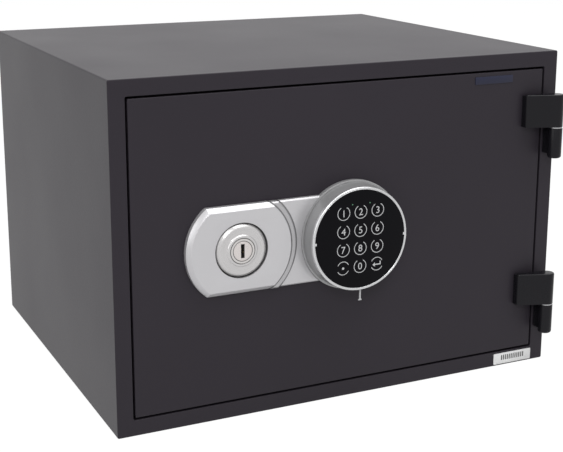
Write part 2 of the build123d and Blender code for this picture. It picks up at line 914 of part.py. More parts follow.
with BuildPart() as key_cam:
    rod("y", cam_hub_radius, (gear_front_y, gear_rear_y), key_spot)
    block(
        (key_x - cam_reach, key_x),
        (bar_front_y, bar_rear_y),
        (lock_height - cam_half_width, lock_height + cam_half_width),
    )
    rod("y", tail_radius + fixed_fit, (gear_front_y, gear_rear_y), key_spot, mode=Mode.SUBTRACT)
key_cam.part.label = "key_cam"
export_step(key_cam.part, "parts/key_cam.step")

# Dial base, fixed to the door under the dial
with BuildPart() as dial_base:
    base_floor_y = front_y - bushing_flange_thickness
    base_wall_radius = dial_base_radius - dial_base_wall
    turned(
        0,
        [
            (spindle_hole_radius + fixed_fit, front_y),
            (dial_base_radius, front_y),
            (dial_base_radius, dial_base_y),
            (base_wall_radius, dial_base_y),
            (base_wall_radius, base_floor_y),
            (spindle_hole_radius + fixed_fit, base_floor_y),
        ],
    )
    rod("y", cable_hole_radius, (base_floor_y, front_y), cable_spot, mode=Mode.SUBTRACT)
dial_base.part.label = "dial_base"
export_step(dial_base.part, "parts/dial_base.step")

# Dial housing: a shallow drum with a hub for the spindle and an opening for the battery tray
tray_half = cell_length / 2 + tray_wall
tray_top_z = lock_height - cell_drop + cell_radius + tray_lip
below_dial_z = lock_height - 2 * dial_radius
dial_rear_radius = dial_radius + dial_draft
housing_profile = [
    (0, dial_rear_y),
    (dial_rear_radius, dial_rear_y),
    (dial_radius, bezel_rear_y),
    (0, bezel_rear_y),
]
with BuildPart() as dial_housing:
    turned(0, housing_profile)
    turned(
        0,
        [
            (0, dial_rear_y - dial_rear_wall),
            (dial_radius - dial_wall, dial_rear_y - dial_rear_wall),
            (dial_radius - dial_wall, bezel_rear_y + dial_wall),
            (glass_radius - dial_wall, bezel_rear_y + dial_wall),
            (glass_radius - dial_wall, bezel_rear_y),
            (0, bezel_rear_y),
        ],
        mode=Mode.SUBTRACT,
    )
    hub_y = (dial_rear_y - hub_depth, dial_rear_y)
    rod("y", hub_radius, hub_y, dial_spot)
    rod("y", spindle_radius + fixed_fit, hub_y, dial_spot, mode=Mode.SUBTRACT)
    block(
        (-tray_half - contact_gap, tray_half + contact_gap),
        (bezel_rear_y, dial_rear_y - dial_rear_wall),
        (below_dial_z, tray_top_z + contact_gap),
        mode=Mode.SUBTRACT,
    )
dial_housing.part.label = "dial_housing"
export_step(dial_housing.part, "parts/dial_housing.step")

# Bright bezel, keypad board and touch glass
with BuildPart() as dial_bezel:
    turned(
        0,
        [
            (glass_radius + fixed_fit, bezel_rear_y),
            (dial_radius, bezel_rear_y),
            (dial_radius, dial_front_y + bezel_bevel),
            (dial_radius - bezel_bevel, dial_front_y),
            (glass_radius + bezel_inner_bevel, dial_front_y),
            (glass_radius + fixed_fit, dial_front_y + glass_recess),
        ],
    )
dial_bezel.part.label = "dial_bezel"
export_step(dial_bezel.part, "parts/dial_bezel.step")

board_front_y = bezel_rear_y - board_thickness
with BuildPart() as keypad_board:
    rod("y", glass_radius, (board_front_y, bezel_rear_y), dial_spot)
keypad_board.part.label = "keypad_board"
export_step(keypad_board.part, "parts/keypad_board.step")

with BuildPart() as touch_glass:
    rod("y", glass_radius, (board_front_y - glass_thickness, board_front_y), dial_spot)
touch_glass.part.label = "touch_glass"
export_step(touch_glass.part, "parts/touch_glass.step")

# Battery tray, two cells across it, and the pull tab under the dial
cell_y = (tray_front_y + tray_rear_y) / 2
cell_heights = (lock_height - cell_drop, lock_height - cell_drop - cell_pitch)
tray_profile = [
    (0, tray_rear_y),
    (dial_rear_radius, tray_rear_y),
    (dial_radius, tray_front_y),
    (0, tray_front_y),
]
with BuildPart() as battery_tray:
    turned(0, tray_profile)
    block(
        (-tray_half, tray_half),
        (tray_front_y, tray_rear_y),
        (below_dial_z, tray_top_z),
        mode=Mode.INTERSECT,
    )
    for z in cell_heights:
        block(
            (-cell_length / 2 - fixed_fit, cell_length / 2 + fixed_fit),
            (tray_front_y, tray_rear_y),
            (z - cell_radius - fixed_fit, z + cell_radius + fixed_fit),
            mode=Mode.SUBTRACT,
        )
battery_tray.part.label = "battery_tray"
export_step(battery_tray.part, "parts/battery_tray.step")

with BuildPart() as batteries:
    for z in cell_heights:
        rod("x", cell_radius, (-cell_length / 2, cell_length / 2), (cell_y, z))
batteries.part.label = "batteries"
export_step(batteries.part, "parts/batteries.step")

tab_top_z = lock_height - dial_radius + tray_wall
tab_low_z = lock_height - dial_rear_radius - tab_length
tab_y = (tray_front_y, tray_front_y + tab_thickness)
with BuildPart() as pull_tab:
    block(
        (tab_offset - tab_width / 2, tab_offset + tab_width / 2),
        tab_y,
        (tab_low_z, tab_top_z),
    )
    block(
        (tab_offset - tab_foot / 2, tab_offset + tab_foot / 2),
        tab_y,
        (tab_low_z, tab_low_z + tab_thickness),
    )
    turned(0, tray_profile, mode=Mode.SUBTRACT)
pull_tab.part.label = "pull_tab"
export_step(pull_tab.part, "parts/pull_tab.step")

# Spindle from the dial to the pinion, in a tube with a flanged bushing at each end
spindle_rear_y = gear_rear_y + spindle_tail
with BuildPart() as spindle:
    rod("y", spindle_radius, (dial_rear_y - hub_depth, spindle_rear_y), dial_spot)
spindle.part.label = "spindle"
export_step(spindle.part, "parts/spindle.step")

with BuildPart() as spindle_tube:
    rod("y", spindle_tube_radius, (skin_back_y, mechanism_front_y), dial_spot)
    rod(
        "y",
        spindle_hole_radius + fixed_fit,
        (skin_back_y, mechanism_front_y),
        dial_spot,
        mode=Mode.SUBTRACT,
    )
spindle_tube.part.label = "spindle_tube"
export_step(spindle_tube.part, "parts/spindle_tube.step")

with BuildPart() as front_bushing:
    flange_y = base_floor_y - bushing_flange_thickness
    bushing_rear_y = front_y + bushing_length
    rod("y", spindle_hole_radius, (base_floor_y, bushing_rear_y), dial_spot)
    rod("y", spindle_hole_radius + bushing_flange, (flange_y, base_floor_y), dial_spot)
    rod("y", spindle_radius + running_fit, (flange_y, bushing_rear_y), dial_spot, mode=Mode.SUBTRACT)
front_bushing.part.label = "front_bushing"
export_step(front_bushing.part, "parts/front_bushing.step")

with BuildPart() as rear_bushing:
    flange_y = mechanism_rear_y + bushing_flange_thickness
    rod("y", spindle_hole_radius, (mechanism_front_y - bushing_length, mechanism_rear_y), dial_spot)
    rod("y", spindle_hole_radius + bushing_flange, (mechanism_rear_y, flange_y), dial_spot)
    rod(
        "y",
        spindle_radius + running_fit,
        (mechanism_front_y - bushing_length, flange_y),
        dial_spot,
        mode=Mode.SUBTRACT,
    )
rear_bushing.part.label = "rear_bushing"
export_step(rear_bushing.part, "parts/rear_bushing.step")

# Mechanism plate that carries the bolt work
with BuildPart() as mechanism_plate:
    block(
        (plug_left + plug_sheet, plug_right - plug_sheet),
        (mechanism_front_y, mechanism_rear_y),
        (plug_low + plug_sheet, plug_high - plug_sheet),
    )
    for spot, radius in (
        (dial_spot, spindle_hole_radius + fixed_fit),
        (key_spot, tail_radius + running_fit),
        (cable_spot, cable_hole_radius),
    ):
        rod("y", radius, (mechanism_front_y, mechanism_rear_y), spot, mode=Mode.SUBTRACT)
mechanism_plate.part.label = "mechanism_plate"
export_step(mechanism_plate.part, "parts/mechanism_plate.step")

# Drive pinion with involute teeth, a gap of which faces the rack
base_radius = pitch_radius * math.cos(math.radians(pressure_angle))
tip_radius = pitch_radius + gear_module
root_radius = pitch_radius - tooth_depth
flank_steps = 5


def involute(angle):
    """The polar angle that an involute has turned through at a pressure angle."""
    return math.tan(angle) - angle


def flank_point(radius, side):
    """A point of a pinion tooth's flank, for a tooth that points along the sketch's x axis."""
    tooth_half_angle = tooth_half_width / pitch_radius
    pressure = math.acos(min(1.0, base_radius / radius))
    angle = tooth_half_angle + involute(math.radians(pressure_angle)) - involute(pressure)
    return (radius * math.cos(angle), side * radius * math.sin(angle))


with BuildPart() as drive_pinion:
    with BuildSketch(facing(gear_rear_y)):
        with Locations(dial_spot):
            Circle(root_radius)
        start = max(base_radius, root_radius)
        radii = [start + (tip_radius - start) * step / flank_steps for step in range(flank_steps + 1)]
        inside = root_radius - contact_gap
        foot = flank_point(start, 1)[1]
        tooth = [(inside, -foot)] + [flank_point(radius, -1) for radius in radii]
        tooth += [flank_point(radius, 1) for radius in reversed(radii)] + [(inside, foot)]
        turn = 360 / gear_teeth
        for index in range(gear_teeth):
            with BuildLine(Plane(dial_spot).rotated((0, 0, 90 + turn * (index + 0.5)))):
                Polyline(*tooth, close=True)
            make_face()
        with Locations(dial_spot):
            Circle(spindle_radius + fixed_fit, mode=Mode.SUBTRACT)
    extrude(amount=gear_width)
drive_pinion.part.label = "drive_pinion"
export_step(drive_pinion.part, "parts/drive_pinion.step")

with BuildPart() as spindle_clip:
    clip_y = (gear_rear_y, gear_rear_y + clip_thickness)
    rod("y", spindle_radius + clip_width, clip_y, dial_spot)
    rod("y", spindle_radius + fixed_fit, clip_y, dial_spot, mode=Mode.SUBTRACT)
spindle_clip.part.label = "spindle_clip"
export_step(spindle_clip.part, "parts/spindle_clip.step")

# Bolt bar: an upright that carries both bolts, and an arm with the rack and the two lugs
plunger_lug_left = solenoid_x + plunger_radius + lug_clearance
plunger_lug_right = solenoid_x + bolt_throw - plunger_radius - lug_clearance
key_lug_left = key_x + cam_half_width + lug_clearance
key_lug_right = key_x + bolt_throw - cam_half_width - lug_clearance
slot_half = post_radius + post_slot_clearance
with BuildPart() as bolt_bar:
    block(
        (bar_left, bar_right),
        (bar_front_y, bar_rear_y),
        (bolt_heights[0] - bar_overhang, bolt_heights[1] + bar_overhang),
    )
    block((bar_left, arm_right), (bar_front_y, bar_rear_y), (arm_low, arm_high))
    block(
        (plunger_lug_left, plunger_lug_right),
        (bar_front_y, bar_rear_y),
        (arm_high, arm_high + plunger_lug_height),
    )
    block((key_lug_left, key_lug_right), (bar_front_y, bar_rear_y), (arm_low - key_lug_drop, arm_low))
    with BuildSketch(facing(bar_rear_y)):
        slope = math.tan(math.radians(pressure_angle))
        for index in range(-2, int(bolt_throw / rack_pitch) + 3):
            x = index * rack_pitch
            tip_half = tooth_half_width - gear_module * slope
            foot_half = tooth_half_width + tooth_depth * slope
            with BuildLine():
                Polyline(
                    (x - tip_half, rack_line_z - gear_module),
                    (x + tip_half, rack_line_z - gear_module),
                    (x + foot_half, arm_low),
                    (x - foot_half, arm_low),
                    close=True,
                )
            make_face()
    extrude(amount=bar_thickness)
    for post_x in post_places:
        with BuildSketch(facing(bar_rear_y)):
            with Locations((post_x + bolt_throw / 2, arm_middle)):
                SlotCenterToCenter(bolt_throw + 2 * lug_clearance, 2 * slot_half)
        extrude(amount=bar_thickness, mode=Mode.SUBTRACT)
    for z in bolt_heights:
        rod("x", bolt_screw_radius + fixed_fit, (bar_left, bar_right), (bolt_y, z), mode=Mode.SUBTRACT)
bolt_bar.part.label = "bolt_bar"
export_step(bolt_bar.part, "parts/bolt_bar.step")

# Locking bolts, each held to the bar by a screw and sliding through a guide
with BuildPart() as locking_bolts:
    for z in bolt_heights:
        rod("x", bolt_radius, (plug_left - bolt_rest_proud, bar_left), (bolt_y, z))
    chamfer(locking_bolts.edges().filter_by(GeomType.CIRCLE).group_by(Axis.X)[0], bolt_tip_bevel)
    for z in bolt_heights:
        rod("x", bolt_screw_radius, (bar_left - bolt_screw_depth, bar_left), (bolt_y, z), mode=Mode.SUBTRACT)
locking_bolts.part.label = "locking_bolts"
export_step(locking_bolts.part, "parts/locking_bolts.step")

with BuildPart() as bolt_screws:
    for z in bolt_heights:
        shank_ends = (bar_left - bolt_screw_depth + contact_gap, bar_right)
        rod("x", bolt_screw_radius - fixed_fit, shank_ends, (bolt_y, z))
        rod("x", 2 * bolt_screw_radius, (bar_right, bar_right + bolt_screw_head), (bolt_y, z))
bolt_screws.part.label = "bolt_screws"
export_step(bolt_screws.part, "parts/bolt_screws.step")

with BuildPart() as bolt_guides:
    guide_ends = (plug_left + plug_sheet, plug_left + plug_sheet + guide_length)
    for z in bolt_heights:
        guide_rear_y = bolt_y + bolt_radius + contact_gap + guide_rear_wall
        guide_z = (z - guide_half_height, z + guide_half_height)
        block(guide_ends, (mechanism_rear_y, guide_rear_y), guide_z)
        rod("x", bolt_radius + contact_gap, guide_ends, (bolt_y, z), mode=Mode.SUBTRACT)
bolt_guides.part.label = "bolt_guides"
export_step(bolt_guides.part, "parts/bolt_guides.step")

# Shoulder posts that the bar's slots run on
with BuildPart() as guide_posts:
    collar_rear_y = bar_front_y - contact_gap
    head_front_y = bar_rear_y + contact_gap
    for post_x in post_places:
        spot = (post_x, arm_middle)
        rod("y", post_radius + post_collar, (mechanism_rear_y, collar_rear_y), spot)
        rod("y", post_radius, (collar_rear_y, head_front_y), spot)
        rod("y", post_radius + post_collar, (head_front_y, head_front_y + post_head), spot)
guide_posts.part.label = "guide_posts"
export_step(guide_posts.part, "parts/guide_posts.step")

# Solenoid on the mechanism plate, with its sprung plunger over the bar's lug
solenoid_low = plunger_tip_z + plunger_travel
solenoid_high = solenoid_low + solenoid_height
solenoid_rear_y = mechanism_rear_y + solenoid_depth
plunger_top = plunger_tip_z + plunger_length
bore_top = solenoid_high - solenoid_end_wall
with BuildPart() as solenoid_case:
    block(
        (solenoid_x - solenoid_width / 2, solenoid_x + solenoid_width / 2),
        (mechanism_rear_y, solenoid_rear_y),
        (solenoid_low, solenoid_high),
    )
    bore_ends = (solenoid_low, bore_top)
    rod("z", plunger_radius + running_fit, bore_ends, (solenoid_x, bolt_y), mode=Mode.SUBTRACT)
solenoid_case.part.label = "solenoid_case"
export_step(solenoid_case.part, "parts/solenoid_case.step")

with BuildPart() as solenoid_plunger:
    rod("z", plunger_radius, (plunger_tip_z, plunger_top), (solenoid_x, bolt_y))
solenoid_plunger.part.label = "solenoid_plunger"
export_step(solenoid_plunger.part, "parts/solenoid_plunger.step")

spring_radius = plunger_radius - spring_wire
spring_length = bore_top - plunger_top - 2 * spring_wire
spring_pitch = 3 * spring_wire
with BuildPart() as plunger_spring:
    with BuildLine(Plane((solenoid_x, bolt_y, plunger_top + spring_wire))) as coil:
        Helix(pitch=spring_pitch, height=spring_length, radius=spring_radius)
    with BuildSketch(Plane(coil.line @ 0, z_dir=coil.line % 0)):
        Circle(spring_wire / 2)
    sweep(path=coil.line)
plunger_spring.part.label = "plunger_spring"
export_step(plunger_spring.part, "parts/plunger_spring.step")

# Fixed bolts on the hinge side
with BuildPart() as fixed_bolts:
    for z in bolt_heights:
        inner_x = plug_right - plug_sheet
        rod("x", fixed_bolt_radius, (inner_x, plug_right + fixed_bolt_reach), (bolt_y, z))
        rod("x", fixed_bolt_radius + fixed_bolt_head, (inner_x - fixed_bolt_head, inner_x), (bolt_y, z))
    chamfer(fixed_bolts.edges().filter_by(GeomType.CIRCLE).group_by(Axis.X)[-1], bolt_tip_bevel)
fixed_bolts.part.label = "fixed_bolts"
export_step(fixed_bolts.part, "parts/fixed_bolts.step")

# Lock cable, in its tube through the fill and round to the solenoid
with BuildPart() as cable_tube:
    rod("y", cable_tube_radius, (skin_back_y, mechanism_front_y), cable_spot)
    rod("y", cable_hole_radius, (skin_back_y, mechanism_front_y), cable_spot, mode=Mode.SUBTRACT)
cable_tube.part.label = "cable_tube"
export_step(cable_tube.part, "parts/cable_tube.step")

cable_end_z = (solenoid_low + solenoid_high) / 2
cable_lead_y = bar_rear_y + cable_radius + lug_clearance
cable_route = [
    (cable_spot[0], base_floor_y, cable_spot[1]),
    (cable_spot[0], bar_rear_y, cable_spot[1]),
    (0.0, cable_lead_y, cable_end_z),
    (solenoid_x + solenoid_width / 2, cable_lead_y, cable_end_z),
]
cable_bends = []
for before, corner, after in zip(cable_route, cable_route[1:], cable_route[2:]):
    arriving = Vector(*corner) - Vector(*before)
    leaving = Vector(*after) - Vector(*corner)
    shorter = min(arriving.length, leaving.length)
    half_turn = math.radians(arriving.get_angle(leaving)) / 2
    cable_bends.append(0.45 * shorter / math.tan(half_turn))
print("cable bend radii", [round(radius, 1) for radius in cable_bends])
with BuildPart() as lock_cable:
    with BuildLine() as route:
        FilletPolyline(*cable_route, radius=cable_bends)
    with BuildSketch(Plane(route.line @ 0, z_dir=route.line % 0)):
        Circle(cable_radius)
    sweep(path=route.line)
lock_cable.part.label = "lock_cable"
export_step(lock_cable.part, "parts/lock_cable.step")
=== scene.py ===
"""The looks of a surface-mounted home safe: finishes for its parts, and the fine pieces that show on it."""

import json
import math

import bmesh
import bpy
from mathutils import Matrix, Vector

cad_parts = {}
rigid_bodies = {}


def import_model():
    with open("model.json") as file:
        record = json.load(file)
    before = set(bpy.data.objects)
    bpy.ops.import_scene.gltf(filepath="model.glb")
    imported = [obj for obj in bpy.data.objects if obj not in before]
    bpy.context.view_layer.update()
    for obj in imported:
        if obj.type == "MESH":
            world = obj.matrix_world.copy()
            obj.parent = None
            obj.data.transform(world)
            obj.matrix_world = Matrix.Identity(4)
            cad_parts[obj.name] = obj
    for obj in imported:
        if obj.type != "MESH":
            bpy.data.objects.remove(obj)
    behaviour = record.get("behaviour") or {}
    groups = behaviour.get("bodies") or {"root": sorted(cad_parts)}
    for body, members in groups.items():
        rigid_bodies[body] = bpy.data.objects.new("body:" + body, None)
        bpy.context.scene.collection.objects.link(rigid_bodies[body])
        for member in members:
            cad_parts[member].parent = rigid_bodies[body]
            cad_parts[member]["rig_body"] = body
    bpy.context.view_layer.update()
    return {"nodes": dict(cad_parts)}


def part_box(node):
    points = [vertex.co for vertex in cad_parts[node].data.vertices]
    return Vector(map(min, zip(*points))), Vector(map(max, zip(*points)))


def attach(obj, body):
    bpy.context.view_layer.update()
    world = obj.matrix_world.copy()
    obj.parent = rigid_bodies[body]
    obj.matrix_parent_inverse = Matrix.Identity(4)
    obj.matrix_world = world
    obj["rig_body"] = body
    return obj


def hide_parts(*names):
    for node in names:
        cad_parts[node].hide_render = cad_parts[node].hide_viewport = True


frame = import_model()
nodes = frame["nodes"]
MM = 0.001

# Camera, at the photograph's viewing angle
PHOTO_WIDTH = 563
CAMERA_PLACE = (-0.5131, -1.1207, 0.4592)
CAMERA_YAW = 25.56
CAMERA_PITCH = 13.48
CAMERA_ROLL = 0.14
CAMERA_FOCAL_PIXELS = 1222.2
CAMERA_SHIFT = -0.08


def make_camera():
    """The camera, turned right by its yaw and down by its pitch."""
    data = bpy.data.cameras.new("camera")
    data.sensor_width = 36.0
    data.lens = CAMERA_FOCAL_PIXELS / PHOTO_WIDTH * data.sensor_width
    data.shift_y = CAMERA_SHIFT
    camera = bpy.data.objects.new("camera", data)
    bpy.context.scene.collection.objects.link(camera)
    turn = Matrix.Rotation(-math.radians(CAMERA_YAW), 4, "Z")
    tilt = Matrix.Rotation(math.radians(90 - CAMERA_PITCH), 4, "X")
    roll = Matrix.Rotation(math.radians(CAMERA_ROLL), 4, "Z")
    camera.matrix_world = Matrix.Translation(CAMERA_PLACE) @ turn @ tilt @ roll
    bpy.context.scene.camera = camera


make_camera()


# Shader expressions
class Wire:
    """A socket's value. Arithmetic on it adds Math nodes to its tree."""

    def __init__(self, socket):
        self.socket = socket

    def maths(self, operation, other=0.0, swapped=False):
        node = self.socket.node.id_data.nodes.new("ShaderNodeMath")
        node.operation = operation
        sides = (other, self) if swapped else (self, other)
        for socket, side in zip(node.inputs, sides):
            feed(socket, side)
        return Wire(node.outputs[0])

    def __add__(self, other):
        return self.maths("ADD", other)

    def __radd__(self, other):
        return self.maths("ADD", other, True)

    def __sub__(self, other):
        return self.maths("SUBTRACT", other)

    def __rsub__(self, other):
        return self.maths("SUBTRACT", other, True)

    def __mul__(self, other):
        return self.maths("MULTIPLY", other)

    def __rmul__(self, other):
        return self.maths("MULTIPLY", other, True)

    def __truediv__(self, other):
        return self.maths("DIVIDE", other)

    def __pow__(self, other):
        return self.maths("POWER", other)

    def __gt__(self, other):
        return self.maths("GREATER_THAN", other)

    def __lt__(self, other):
        return self.maths("LESS_THAN", other)


def feed(socket, value):
    """Links a wire to a socket, or sets the socket's own value. A colour needs no fourth number."""
    if isinstance(value, Wire):
        socket.id_data.links.new(value.socket, socket)
    elif socket.type == "RGBA":
        socket.default_value = (*value[:3], 1.0)
    else:
        socket.default_value = value


SEEN_RAYS = ("Is Camera Ray", "Is Glossy Ray", "Is Transmission Ray")


class Shader:
    """A material or world, with one method that adds any node to its tree."""

    def __init__(self, owner):
        self.owner = owner
        owner.use_nodes = True
        self.tree = owner.node_tree
        self.tree.nodes.clear()

    def node(self, kind, settings=None, inputs=None, output=0):
        """Adds a node: its settings first, then its sockets by name or number. Gives one output, or all of
        them where output is None."""
        node = self.tree.nodes.new("ShaderNode" + kind)
        for name, value in (settings or {}).items():
            setattr(node, name, value)
        for name, value in (inputs or {}).items():
            feed(node.inputs[name], value)
        if output is None:
            return [Wire(socket) for socket in node.outputs]
        return Wire(node.outputs[output])

    def place(self, scale=(1, 1, 1), shift=(0, 0, 0)):
        """The object's own coordinates in metres, stretched and then shifted."""
        point = self.node("TexCoord", output="Object")
        return self.node("Mapping", {}, {"Vector": point, "Location": shift, "Scale": scale})

    def split(self, shift):
        """The object's own coordinates, shifted, as three values."""
        return self.node("SeparateXYZ", {}, {"Vector": self.place(shift=shift)}, None)

    def around(self, centre):
        """Distances across, up and outwards from the line along Y at a centre."""
        across, _, up = self.split(tuple(-value for value in centre))
        return across, up, (across**2 + up**2) ** 0.5

    def noise(self, scale, detail=2.0, at=None, rough=0.5):
        """Noise between about 0 and 1, with scale counts to the metre."""
        inputs = {"Scale": scale, "Detail": detail, "Roughness": rough}
        inputs["Vector"] = at or self.place()
        return self.node("TexNoise", {}, inputs, "Fac")

    def mix(self, amount, first, second):
        """A blend of two colours."""
        return self.node("Mix", {"data_type": "RGBA"}, {0: amount, 6: first, 7: second}, 2)

    def bump(self, height, depth, strength=1.0):
        """A normal from a height between 0 and 1 over a depth in metres."""
        return self.node("Bump", {}, {"Height": height, "Distance": depth, "Strength": strength}, "Normal")

    def seen(self):
        """1 for what the camera sees, straight, in a shine or through a clear piece, else 0."""
        return sum((self.node("LightPath", output=ray) for ray in SEEN_RAYS), 0.0)

    def finish(self, **inputs):
        """The surface itself. Underscores stand for spaces in the sockets' names."""
        named = {name.replace("_", " ").replace("Ior", "IOR"): value for name, value in inputs.items()}
        surface = self.node("BsdfPrincipled", {}, named)
        self.node("OutputMaterial", {}, {"Surface": surface}, None)
        return self.owner


def shade(colour, amount):
    """A colour made lighter or darker by a share."""
    return tuple(min(1.0, channel * (1 + amount)) for channel in colour)


def material(name):
    """A new material's shader."""
    return Shader(bpy.data.materials.new(name))


# Finishes
COAT = (0.0228, 0.0192, 0.0250)
HINGE_COAT = (0.0070, 0.0066, 0.0085)
LINER_COAT = (0.40, 0.40, 0.39)


def powder_coat(name, colour, roughness=0.40, specular=0.16, grain=1100):
    """A baked coat: fine orange peel, faint clouds in its tone and gloss."""
    s = material(name)
    clouds = s.noise(7, 3)
    speckle = s.noise(grain, 2)
    peel = s.noise(grain / 3.2, 1)
    tone = s.mix(clouds * 0.6 + speckle * 0.4, shade(colour, -0.14), shade(colour, 0.14))
    return s.finish(
        Base_Color=tone,
        Roughness=roughness + (clouds - 0.5) * 0.10 + (speckle - 0.5) * 0.10,
        Specular_Ior_Level=specular,
        Normal=s.bump(speckle * 0.45 + peel * 0.55, 0.09 * MM, 0.8),
    )


def cast_fill():
    """Cast mineral fill: pale, porous and rough."""
    s = material("cast_fill")
    pores = s.noise(260, 4, rough=0.65)
    stain = s.noise(24, 3)
    tone = s.mix(stain, (0.46, 0.44, 0.40), (0.60, 0.58, 0.54))
    return s.finish(
        Base_Color=s.mix((pores - 0.52) * 4, tone, (0.30, 0.28, 0.26)),
        Roughness=0.9,
        Specular_Ior_Level=0.2,
        Normal=s.bump(pores, 0.8 * MM, 0.9),
    )


def satin_silver(name, colour, roughness):
    """Plated metal with a soft, even shine."""
    s = material(name)
    fine = s.noise(1800, 2)
    cloud = s.noise(18, 2)
    return s.finish(
        Base_Color=s.mix(cloud, shade(colour, -0.03), shade(colour, 0.03)),
        Metallic=1.0,
        Roughness=roughness + (fine - 0.5) * 0.10 + (cloud - 0.5) * 0.05,
        Normal=s.bump(fine, 0.008 * MM, 0.6),
    )


PLATE_SILVER = (0.48, 0.474, 0.487)
# Radii of the plate's curved steps and hole, and the width of the painted shade line at each step.
PLATE_STEPS = (48.5 * MM, 54.0 * MM)
PLATE_HOLE = 24.8 * MM
CORNER_WIDTH = 1.0 * MM


def plate_silver():
    """The lock plate's lacquer, with painted shade: darker on the band between its curved steps and dark in
    their corners, right of the lock only, and dark in its hole.
    """
    s = material("plate_silver")
    across, _, radius = s.around(LOCK_MIDDLE)
    right = across > 0
    # Painted shade: the colour is darkened on the band between the steps and in their corners, right of the
    # lock, and in the hole's rim.
    shaded_band = (radius > PLATE_STEPS[0]) * (radius < PLATE_STEPS[1]) * right
    painted_corner_shade = radius < PLATE_HOLE
    for step in PLATE_STEPS:
        painted_corner_shade = painted_corner_shade + (radius > step - CORNER_WIDTH) * (radius < step + CORNER_WIDTH / 2) * right
    fine = s.noise(1500, 2)
    cloud = s.noise(18, 2)
    silver = s.mix(cloud, PLATE_SILVER, shade(PLATE_SILVER, 0.05))
    band_shaded_silver = s.mix(shaded_band * 0.35, silver, shade(PLATE_SILVER, -0.55))
    return s.finish(
        Base_Color=s.mix(painted_corner_shade * 0.75, band_shaded_silver, shade(PLATE_SILVER, -0.8)),
        Metallic=0.5,
        Roughness=0.33 + (fine - 0.5) * 0.10 + (cloud - 0.5) * 0.05,
        Normal=s.bump(fine, 0.004 * MM, 0.6),
    )


def turned_metal(name, colour, roughness, centre, pitch=0.12, depth=0.006, metallic=1.0, seams=(), slot=None):
    """Metal turned on a lathe about the line along Y at a centre, with fine rings. Painted shade darkens its
    seams, given as pairs of radii, and the inside of its slot, given as half a width and half a height."""
    s = material(name)
    across, up, radius = s.around(centre)
    # Painted shade: the seams and the inside of the slot are darkened nearly to black in the colour.
    painted_shade = 0.0
    for inner, outer in seams:
        painted_shade = painted_shade + (radius > inner) * (radius < outer)
    if slot:
        painted_shade = (across.maths("ABSOLUTE") < slot[0]) * (up.maths("ABSOLUTE") < slot[1])
    rings = s.node(
        "TexNoise", {"noise_dimensions": "1D"}, {"W": radius, "Scale": 1 / (pitch * MM), "Detail": 1.0}, "Fac"
    )
    fine = s.noise(900, 2)
    clean = s.mix(fine, shade(colour, -0.04), shade(colour, 0.04))
    return s.finish(
        Base_Color=s.mix(painted_shade * 0.85, clean, shade(colour, -0.95)),
        Metallic=metallic,
        Roughness=roughness + (rings - 0.5) * 0.16,
        Normal=s.bump(rings, depth * MM, 0.6),
    )


def drawn_metal(name, colour, roughness, along, stain=0.05):
    """Bar or sheet with fine lines along one axis."""
    s = material(name)
    stretch = {"X": (25, 1600, 1600), "Y": (1600, 25, 1600), "Z": (1600, 1600, 25)}[along]
    lines = s.noise(1.0, 2, at=s.place(scale=stretch))
    cloud = s.noise(30, 3)
    tone = s.mix(cloud * 0.5 + lines * 0.5, shade(colour, -2 * stain), shade(colour, stain))
    return s.finish(
        Base_Color=tone,
        Metallic=1.0,
        Roughness=roughness + (lines - 0.5) * 0.14 + (cloud - 0.5) * 0.10,
        Normal=s.bump(lines, 0.01 * MM, 0.6),
    )


def moulded_plastic(name, colour, roughness, grain=1300, depth=0.03):
    """Moulded plastic with a fine spark-eroded grain."""
    s = material(name)
    fine = s.noise(grain, 2)
    cloud = s.noise(22, 2)
    return s.finish(
        Base_Color=s.mix(cloud, shade(colour, -0.08), shade(colour, 0.08)),
        Roughness=roughness + (fine - 0.5) * 0.12 + (cloud - 0.5) * 0.06,
        Normal=s.bump(fine, depth * MM, 0.6),
    )


def dial_side():
    """The dial's side, sprayed silver grey."""
    s = material("dial_side")
    fine = s.noise(1400, 2)
    cloud = s.noise(30, 2)
    return s.finish(
        Base_Color=s.mix(cloud, (0.27, 0.27, 0.275), (0.31, 0.31, 0.315)),
        Metallic=0.35,
        Roughness=0.38 + (fine - 0.5) * 0.12,
        Normal=s.bump(fine, 0.02 * MM, 0.6),
    )


def black_glass():
    """The keypad's polished black face, with faint wiped smears."""
    s = material("black_glass")
    smear = s.noise(1.0, 3, at=s.place(scale=(40, 40, 90)))
    dust = s.noise(2600, 1)
    return s.finish(
        Base_Color=s.mix((dust - 0.62) * 3, (0.0032, 0.0030, 0.0042), (0.009, 0.009, 0.010)),
        Roughness=0.08 + (smear - 0.5) * 0.09,
        Specular_Ior_Level=0.06,
        Normal=s.bump(smear, 0.002 * MM, 0.3),
    )


def printing(name, colour):
    """Screen-printed ink, slightly uneven."""
    s = material(name)
    ink = s.noise(1800, 2)
    return s.finish(
        Base_Color=s.mix(ink, shade(colour, -0.14), shade(colour, 0.06)),
        Roughness=0.38 + (ink - 0.5) * 0.15,
        Specular_Ior_Level=0.35,
    )


def lamp_dot():
    """A small green indicator, not lit."""
    s = material("lamp_dot")
    depth = s.noise(2400, 1)
    return s.finish(
        Base_Color=s.mix(depth, (0.03, 0.11, 0.06), (0.07, 0.22, 0.12)),
        Roughness=0.28 + depth * 0.1,
        Coat_Weight=0.4 + depth * 0.2,
    )


def seal_strip():
    """Dark swelling strip with fine pores."""
    s = material("seal_strip")
    pores = s.noise(1500, 3, rough=0.6)
    return s.finish(
        Base_Color=s.mix(pores, (0.012, 0.012, 0.013), (0.035, 0.034, 0.034)),
        Roughness=0.85,
        Specular_Ior_Level=0.25,
        Normal=s.bump(pores, 0.12 * MM, 0.8),
    )


LABEL_BARS = 12
LABEL_BAR_SPAN = (0.20, 0.83)
LABEL_BAR_HEIGHT = (0.34, 0.80)
LABEL_BAR_SHARE = 0.55


